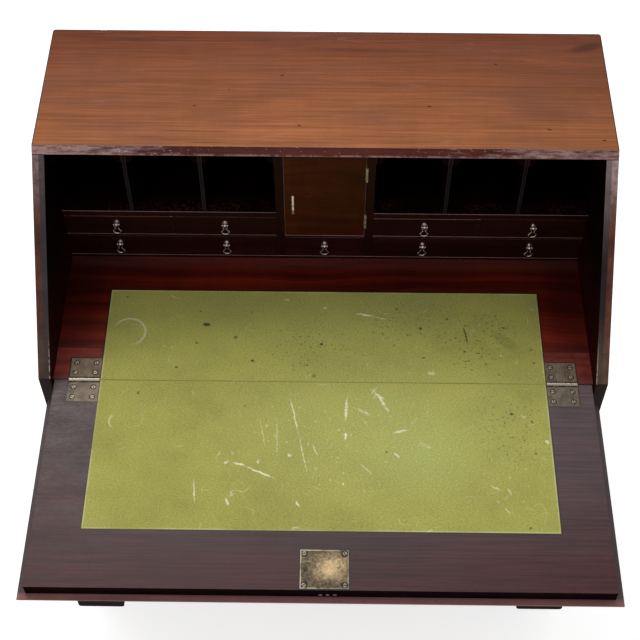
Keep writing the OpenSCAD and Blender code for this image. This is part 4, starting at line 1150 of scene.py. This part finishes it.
def scuff_lines(r, place, rough_place):
    """Pale scratches: the bold ones where they lie, flecks between them, fine ones all over."""
    broken = r.span(r.noise(place, (140, 140, 1), detail=3), 0.36, 0.5, 0.25, 1.0)
    bold = r.times(blots(r, rough_place, LEATHER_SCUFFS, sharp=2.2), broken)
    flecks = r.span(r.noise(r.scaled(place, (150, 90, 1), rotation=(0, 0, 0.7)), detail=3), 0.63, 0.72)
    flecks = r.times(flecks, blots(r, place, FLECKED, sharp=1.4))
    fine = scratches(r, place, 13, width=0.005, gaps=0.54)
    fine = r.sum("MAXIMUM", r.times(fine, 0.4), r.times(flecks, 0.6))
    return r.sum("MAXIMUM", bold, fine)


def finish_edges(r, place, colour, cloud, pits):
    """Pale worn line inside the leather's edges, dirt at them, and wear along the hinge."""
    tone = leather()
    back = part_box("board_leather")[1]
    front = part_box("fall_leather")[0]
    gap = edge_gap(r, place, (front.x, front.y - HINGE_Y), (back.x, back.y - HINGE_Y))
    pale = r.times(r.span(gap, 3.4 * MM, 1.6 * MM), r.span(cloud, 0.4, 0.6, 0.05, 0.3))
    colour = r.mix(pale, colour, tone.scuff)
    colour = r.mix(r.span(gap, 0.9 * MM, 0.3 * MM, 0.0, 0.75), colour, tone.crack)
    across = r.off(r.axis(place, 1))
    worn = r.times(r.span(across, 2.6 * MM, 0.5 * MM), r.span(cloud, 0.4, 0.65, 0.1, 0.4))
    colour = r.mix(worn, colour, tone.crack)
    return r.finish(colour, 0.62, pits, depth=0.15 * MM, strength=0.4, Specular_IOR_Level=0.2)


# Pieces


class DESK_OT_case(bpy.types.Operator):
    """Finishes the sides, the top, the base moulding and the feet"""

    bl_idname = "desk.case"
    bl_label = "Case"

    def execute(self, context):
        tone = wood()
        polish = case_finish()
        worn = worn_wood("arris_wear_and_highlight")
        dark = worn_wood("dark_arris")
        landing, shelter, edge = landing_finish(), sheltered_finish(), front_edge_finish()
        down = (Vector((0, math.cos(SLOPE), math.sin(SLOPE))), AXES[0], AXES[2])
        for side, inwards in (("left", 1), ("right", -1)):
            joinery(
                f"side_{side}", f"side_board_{side}",
                [polish, dark, landing, shelter, edge], tone.arris, along=2, slanted=down,
                choose=lambda f, inwards=inwards: self.side_face(f, inwards),
            )
        joinery("top_board", "desk_top",
                [polish, dark, top_finish(), bevel_finish(), worn], tone.arris,
                choose=self.top_face, shape=notch_back)
        joinery("base_moulding", "base_mould", [polish], tone.arris)
        joinery("bracket_feet", "feet", [polish], tone.arris)
        return {"FINISHED"}

    @staticmethod
    def side_face(face, inwards):
        """Slanted edges, inner faces, front edges and the rest of a side take four finishes."""
        if on_slope(face.normal):
            return LANDING
        if face.normal.x * inwards > 0.9:
            return SHELTER
        if face.normal.y < -0.9:
            return FRONT_EDGE
        return face.material_index

    @staticmethod
    def top_face(face):
        """The top, its front bevel and the arris between them, pale with wear and painted highlight."""
        normal = face.normal
        if normal.z > 0.97:
            return TOP_FACE
        if on_slope(normal) and face.material_index != ARRIS:
            return BEVEL
        if face.material_index == ARRIS and normal.y < -0.3 and abs(normal.x) < 0.3:
            return BEVEL_ARRIS
        return face.material_index


def notch_back(bm):
    """Wears a small wavy notch into the top's back edge."""
    middle, reach, depth = -0.383, 6 * MM, 1.6 * MM
    cuts = 8
    for n in range(cuts + 1):
        place = middle - reach + 2 * reach * n / cuts
        geom = bm.verts[:] + bm.edges[:] + bm.faces[:]
        bmesh.ops.bisect_plane(bm, geom=geom, plane_co=(place, 0, 0), plane_no=(1, 0, 0), dist=1e-7)
    for vert in bm.verts:
        off = abs(vert.co.x - middle) / reach
        if off < 1 and vert.co.y > TOP_HIGH.y - SKIN and vert.co.z > TOP_HIGH.z - SKIN:
            vert.co.y -= depth * (1 + math.cos(off * math.pi)) / 2


class DESK_OT_carcass(bpy.types.Operator):
    """Finishes the back, bottom and runners"""

    bl_idname = "desk.carcass"
    bl_label = "Carcass"

    def execute(self, context):
        oak = oak_finish()
        arris = wood().arris
        joinery("back_boards", "back_planks", [oak], arris, along=2)
        joinery("bottom_board", "bottom_plank", [oak], arris)
        joinery("drawer_runners", "runners", [oak], arris)
        dark = plain_wood("rail_polish", wood().fronts, 0.4, 1.7, 0.35, 0.35)
        joinery("drawer_blades", "rails", [dark], arris)
        joinery("slide_rails", "slide_housing", [dark], arris)
        return {"FINISHED"}


def beside_inlay(place, plates, reach=1.5 * MM):
    """True for a place at the edge of a plate or leather that is let into the wood."""
    return any(
        low.x - reach < place.x < high.x + reach and low.y - reach < place.y < high.y + reach
        for low, high in plates
    )


class DESK_OT_writing(bpy.types.Operator):
    """Finishes the writing board, the fall and the slides"""

    bl_idname = "desk.writing"
    bl_label = "Writing Surface"

    def execute(self, context):
        tone = wood()
        worn = worn_wood("rubbed_arris")
        behind, ahead = board_plates(), fall_plates()
        joinery("writing_board", "writing_surface",
                [board_finish(), worn, rail_finish()], 0.5 * MM,
                choose=lambda face: self.board_face(face, behind))
        joinery("fall_panel", "fall_board",
                [fall_finish(), worn, lip_finish(),
                 plain_wood("fall_outside", tone.case, 0.4, 1.8, 0.32, 0.35, mottle=0.14),
                 worn_wood("fall_edge_painted_shade")],
                0.5 * MM, choose=lambda face: self.fall_face(face, ahead))
        # Painted shade: the slides and their arrises are darkened under the open fall
        slide = plain_wood("slide_wood_painted_shade", tone.slide, 0.5, 1.5, 0.5, 0.05)
        edge = worn_wood("slide_arris_painted_shade")
        for side in ("left", "right"):
            joinery(f"slide_{side}", f"slide_bar_{side}", [slide, edge], 1.2 * MM)
        return {"FINISHED"}

    @staticmethod
    def board_face(face, plates):
        """The rail at the hinge line is duller than the board behind it."""
        place = face.calc_center_median()
        if face.material_index == ARRIS and not beside_inlay(place, plates):
            return ARRIS
        return RAIL if place.y < HINGE_Y + RAIL_D else PLAIN

    @staticmethod
    def fall_face(face, plates):
        """Field, lip, outer face and the edge between the field and the lip, near black as painted shade.
        """
        normal, place = face.normal, face.calc_center_median()
        high = place.z > FALL_HIGH.z - FIELD_SKIN
        if face.material_index == ARRIS:
            if not high:
                return LIP
            return PLAIN if beside_inlay(place, plates) else ARRIS
        if normal.z > 0.9:
            return PLAIN if high else LIP
        if normal.z < -0.9:
            return FALL_OUTSIDE
        return FALL_EDGE if place.z > FALL_LOW.z + LIP_T else LIP


def meet_at_hinges(bm):
    """Brings the leather's edge up to the hinge line."""
    for vert in bm.verts:
        off = vert.co.y - HINGE_Y
        if abs(off) < HINGE_REACH:
            vert.co.y = HINGE_Y + math.copysign(HINGE_GAP, off)


class DESK_OT_leather(bpy.types.Operator):
    """Lays the two pieces of leather"""

    bl_idname = "desk.leather"
    bl_label = "Leather"

    def execute(self, context):
        finish = leather_finish()
        for node, name, under in (
            ("board_leather", "back_leather", "writing_board"),
            ("fall_leather", "front_leather", "fall_panel"),
        ):
            piece = joinery(node, name, [finish], 0.3 * MM, shape=meet_at_hinges)
            low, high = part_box(node)
        return {"FINISHED"}


class DESK_OT_drawers(bpy.types.Operator):
    """Finishes the long drawers"""

    bl_idname = "desk.drawers"
    bl_label = "Long Drawers"

    def execute(self, context):
        tone = wood()
        front = plain_wood("front_polish", tone.fronts, 0.35, 2.0, 0.3, 0.4, mottle=0.16)
        worn = worn_wood("bead_polish")
        oak = oak_finish("drawer_oak")
        for n in range(1, 5):
            node = f"long_drawer_{n}"
            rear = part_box(node)[0].y + FRONT_REACH
            joinery(node, f"drawer_front_{n}", [front, worn], 0.6 * MM,
                    wanted=lambda low, high: low.y < rear)
            joinery(node, f"drawer_box_{n}", [oak], 0.5 * MM,
                    wanted=lambda low, high: low.y > rear)
        return {"FINISHED"}


class DESK_OT_gallery(bpy.types.Operator):
    """Finishes the gallery, its small drawers and its door"""

    bl_idname = "desk.gallery"
    bl_label = "Gallery"

    def execute(self, context):
        tone = wood()
        # Painted shade: the wood inside the gallery, its shelf and its valances are darkened towards black
        inner = plain_wood("gallery_wood_painted_shade", tone.inner * 0.35, 0.4, 1.8, 0.6, 0.01)
        front = plain_wood("gallery_fronts", tone.inner * 1.6, 0.4, 2.0, 0.42, 0.08)
        # Level arrises pale with wear and painted highlight, upright ones dark as painted shade
        rubbed = worn_wood("gallery_arris_wear_and_highlight")
        plain = worn_wood("upright_arris_painted_shade")
        thin = worn_wood("divider_front")
        valance = plain_wood("valance_wood_painted_shade", tone.inner * 0.6, 0.4, 1.8, 0.5, 0.02)
        grey = worn_wood("divider_arris")
        joinery("gallery_case", "gallery",
                [inner, rubbed, front, shelf_finish(), plain], 0.7 * MM, choose=self.front_face)
        joinery("pigeonhole_dividers", "pigeonholes", [inner, grey, thin, valance],
                0.4 * MM, choose=self.divider_face)
        joinery("prospect_door", "cupboard_door",
                [door_finish(), worn_wood("door_arris_wear_and_highlight")],
                0.7 * MM, along=0)
        for n in range(1, 8):
            joinery(f"small_drawer_{n}", f"gallery_drawer_{n}",
                    [inner, rubbed, front, inner, plain], 0.6 * MM, choose=self.front_face)
        return {"FINISHED"}

    @staticmethod
    def front_face(face):
        """Fronts keep more polish and are lighter than the wood behind them, darkened as painted shade;
        upright arrises are painted shade too, and dust lies on the shelf.
        """
        if face.calc_center_median().y < GALLERY_Y + SKIN:
            if face.material_index == ARRIS:
                return UPRIGHT_ARRIS if abs(face.normal.x) > 0.3 else ARRIS
            return GALLERY_FACE
        low = reach_of([face])[0]
        return SHELF_FLOOR if face.normal.z > 0.9 and low.z > SHELF_Z else PLAIN

    @staticmethod
    def divider_face(face):
        """Only the narrow fronts of the dividers are grey; the valances stay red-brown."""
        low, high = reach_of([face])
        if face.calc_center_median().y > GALLERY_FRONT + SKIN:
            return PLAIN
        if high.x - low.x < DIVIDER_MOST_W and high.z - low.z > DIVIDER_LEAST_H:
            return ARRIS if face.material_index == ARRIS else DIVIDER_FACE
        return VALANCE


def chosen_copy(node, name, materials, choose, wanted=None, shape=None):
    """A copy of a CAD node with a finish for each face."""
    bm = joined(node)
    if wanted:
        keep_boards(bm, wanted)
    if shape:
        shape(bm)
    return make_piece(bm, name, frame["nodes"][node]["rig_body"], [node], materials, choose)


def turn_screws(bm):
    """Shrinks each screw head a little in its countersink, widens its slot and turns it."""
    draw = random.Random(SCREW_SEED)
    for screw in in_order(bm):
        low, high = reach_of(screw)
        middle = (low + high) / 2
        angle = draw.uniform(-HEAD_TURN, HEAD_TURN)
        if middle.y < LOCK_HIGH.y:
            angle = LOCK_SLOTS[middle.x > LOCK_MIDDLE.x, middle.y > LOCK_MIDDLE.y]
        turn = Matrix.Rotation(math.radians(angle), 3, "Z")
        for vert in {v for f in screw for v in f.verts}:
            flat = Vector((vert.co.x - middle.x, vert.co.y - middle.y, 0)) * HEAD_SHARE
            if abs(flat.y) < SLOT_REACH:
                flat.y *= SLOT_WEAR
            flat = turn @ flat
            vert.co.x, vert.co.y = middle.x + flat.x, middle.y + flat.y


class DESK_OT_brass(bpy.types.Operator):
    """Finishes the hinges, the lock, the handles, the pulls and the bone chip"""

    bl_idname = "desk.brass"
    bl_label = "Brass"

    def execute(self, context):
        tone = metal()
        brass = brass_finish("old_brass", tone.bright, tone.dull)
        pull = plain_metal("pull_brass", Vector(tone.silver) * 0.85, 0.08, 0.92)
        door = brass_finish("door_brass", tone.silver, tone.dull, rubbed=0.8)
        dirt = dirt_finish()
        pin = plain_metal("rubbed_knuckle", KNUCKLE_TONE, 0.22)
        places = {node: [(low + high) / 2 for low, high in solids(node)]
                  for node in ("fixed_screws", "fall_screws")}
        back = leaf_finish("back_leaf", tone.hinge, places["fixed_screws"])
        front = leaf_finish("front_leaf", tone.leaf, places["fall_screws"])
        chosen_copy("fixed_hinge_leaves", "back_leaves", [back, dirt, pin, door],
                    self.leaf_face)
        chosen_copy("fall_hinge_leaves", "front_leaves", [front, dirt, pin],
                    self.leaf_face)
        head = plain_metal("screw_head", tone.screw, 0.3)
        for node, name in (("fixed_screws", "back_screws"), ("fall_screws", "front_screws")):
            chosen_copy(node, name, [head, dirt], self.screw_face, shape=turn_screws)
        plate = lock_finish(places["fall_screws"])
        chosen_copy("fall_lock", "lock", [plate, dirt, brass], self.lock_face)
        chosen_copy("prospect_door_fittings", "door_leaves", [door], None,
                    wanted=lambda low, high: low.x > 0)
        chosen_copy("prospect_door_fittings", "bone_chip", [bone_finish()], None,
                    wanted=lambda low, high: high.x < 0)
        for n in range(1, 8):
            dress(f"small_post_{n}", pull)
            dress(f"small_loop_{n}", pull)
        for n in range(1, 5):
            dress(f"long_drawer_{n}_posts", brass)
            dress(f"long_drawer_{n}_bails", brass)
        dress("lock_bolts", plain_metal("bolt_steel", tone.bolt, 0.35))
        dress("strike_plate", brass)
        return {"FINISHED"}

    @staticmethod
    def leaf_face(face):
        """Leaves, their dirty countersinks, the knuckles and the cupboard's small leaves."""
        place = face.calc_center_median()
        if place.z > CUPBOARD_Z:
            return CUPBOARD_LEAF
        if abs(place.y - HINGE_Y) < KNUCKLE_REACH:
            return KNUCKLE
        return PLAIN if abs(face.normal.z) > 0.9 else SUNK

    @staticmethod
    def screw_face(face):
        """A screw's head is bright and its slot full of dirt."""
        high = face.calc_center_median().z > WRITE_Z - HEAD_REACH
        return PLAIN if face.normal.z > 0.9 and high else SUNK

    @staticmethod
    def lock_face(face):
        """The plate, its countersinks, and the case and keyhole plate below."""
        place = face.calc_center_median()
        if place.z < LOCK_HIGH.z - PLATE_REACH:
            return LOCK_CASE
        return PLAIN if face.normal.z > 0.9 else SUNK


# Stage


def floor_finish():
    """Pale floor that shows white to the camera and keeps a soft shadow."""
    r = Recipe("pale_floor")
    seen = r.node("ShaderNodeLightPath")
    cloud = r.noise(r.place(), 3, detail=2)
    colour = r.ramp(cloud, (0.0, (0.8, 0.8, 0.8)), (1.0, (0.84, 0.84, 0.84)))
    glow = r.times(seen.outputs["Is Camera Ray"], FLOOR_GLOW)
    r.shader.inputs["Emission Color"].default_value = (1, 1, 1, 1)
    r.feed(r.shader.inputs["Emission Strength"], glow)
    return r.finish(colour, 0.9, Specular_IOR_Level=0.0)


def soft_lamp(name, power, size, place, aim):
    """A soft rectangular lamp."""
    data = bpy.data.lights.new(name, "AREA")
    data.shape, data.energy = "RECTANGLE", power
    data.size, data.size_y = size
    lamp = bpy.data.objects.new(name, data)
    lamp.location = place
    lamp.rotation_euler = (Vector(aim) - Vector(place)).to_track_quat("-Z", "Y").to_euler()
    lamp.visible_camera = False
    bpy.context.scene.collection.objects.link(lamp)


class DESK_OT_stage(bpy.types.Operator):
    """Sets the floor, the lamps, the sky and the camera"""

    bl_idname = "desk.stage"
    bl_label = "Stage"

    def execute(self, context):
        stage = context.scene.desk_stage
        bpy.ops.mesh.primitive_plane_add(size=FLOOR_SIZE, location=(0, 0, 0))
        floor = context.object
        floor.name = "studio_floor"
        floor.data.materials.append(floor_finish())
        soft_lamp("key_lamp", stage.key, *KEY_LAMP)
        soft_lamp("fill_lamp", stage.fill, *FILL_LAMP)
        self.light_sky(context, stage)
        self.place_camera(context, stage)
        context.scene.view_settings.view_transform = "Standard"
        return {"FINISHED"}

    def light_sky(self, context, stage):
        """White to the camera, dimmer as a light."""
        world = bpy.data.worlds.new("studio_sky")
        context.scene.world = world
        world.use_nodes = True
        nodes, links = world.node_tree.nodes, world.node_tree.links
        sky = nodes["Background"]
        sky.inputs[0].default_value = (1, 1, 1, 1)
        path = nodes.new("ShaderNodeLightPath")
        level = nodes.new("ShaderNodeMapRange")
        links.new(path.outputs["Is Camera Ray"], level.inputs[0])
        level.inputs[3].default_value = stage.sky
        level.inputs[4].default_value = 1.0
        links.new(level.outputs[0], sky.inputs[1])

    def place_camera(self, context, stage):
        """The photograph's viewing angle."""
        data = bpy.data.cameras.new("photo_camera")
        data.lens, data.sensor_width = stage.lens, CAMERA_SENSOR
        data.clip_start, data.clip_end = CAMERA_CLIP
        camera = bpy.data.objects.new("photo_camera", data)
        down, turn, roll = (math.radians(a) for a in CAMERA_ANGLES)
        ahead = Vector((math.sin(turn) * math.cos(down), math.cos(turn) * math.cos(down),
                        -math.sin(down)))
        right = Vector((math.cos(turn), -math.sin(turn), 0))
        up = right.cross(ahead)
        right, up = (right * math.cos(roll) + up * math.sin(roll),
                     up * math.cos(roll) - right * math.sin(roll))
        camera.matrix_world = Matrix.Translation(CAMERA_PLACE) @ Matrix(
            (right, up, -ahead)).transposed().to_4x4()
        context.scene.collection.objects.link(camera)
        context.scene.camera = camera


# Settings, steps and their panel

STEPS = (
    DESK_OT_stage, DESK_OT_case, DESK_OT_carcass, DESK_OT_writing, DESK_OT_leather,
    DESK_OT_drawers, DESK_OT_gallery, DESK_OT_brass,
)
GROUPS = {
    "desk_wood": DeskWood, "desk_leather": DeskLeather, "desk_brass": DeskBrass,
    "desk_stage": DeskStage,
}


class DESK_PT_finishes(bpy.types.Panel):
    """Lists the settings and steps of the desk"""

    bl_label = "Desk"
    bl_space_type = "VIEW_3D"
    bl_region_type = "UI"
    bl_category = "Desk"

    def draw(self, context):
        for name, group in GROUPS.items():
            box = self.layout.box()
            for key in group.__annotations__:
                box.prop(getattr(context.scene, name), key)
        for step in STEPS:
            self.layout.operator(step.bl_idname)


def register():
    """Makes the settings, the steps and their panel known."""
    for cls in (*GROUPS.values(), *STEPS, DESK_PT_finishes):
        bpy.utils.register_class(cls)
    for name, group in GROUPS.items():
        setattr(bpy.types.Scene, name, PointerProperty(type=group))


def unregister():
    """Takes them away again."""
    for name in GROUPS:
        delattr(bpy.types.Scene, name)
    for cls in (DESK_PT_finishes, *reversed(STEPS), *GROUPS.values()):
        bpy.utils.unregister_class(cls)


def main():
    """Makes every piece."""
    register()
    for step in STEPS:
        group, name = step.bl_idname.split(".")
        getattr(getattr(bpy.ops, group), name)()


if __name__ == "__main__":
    main()
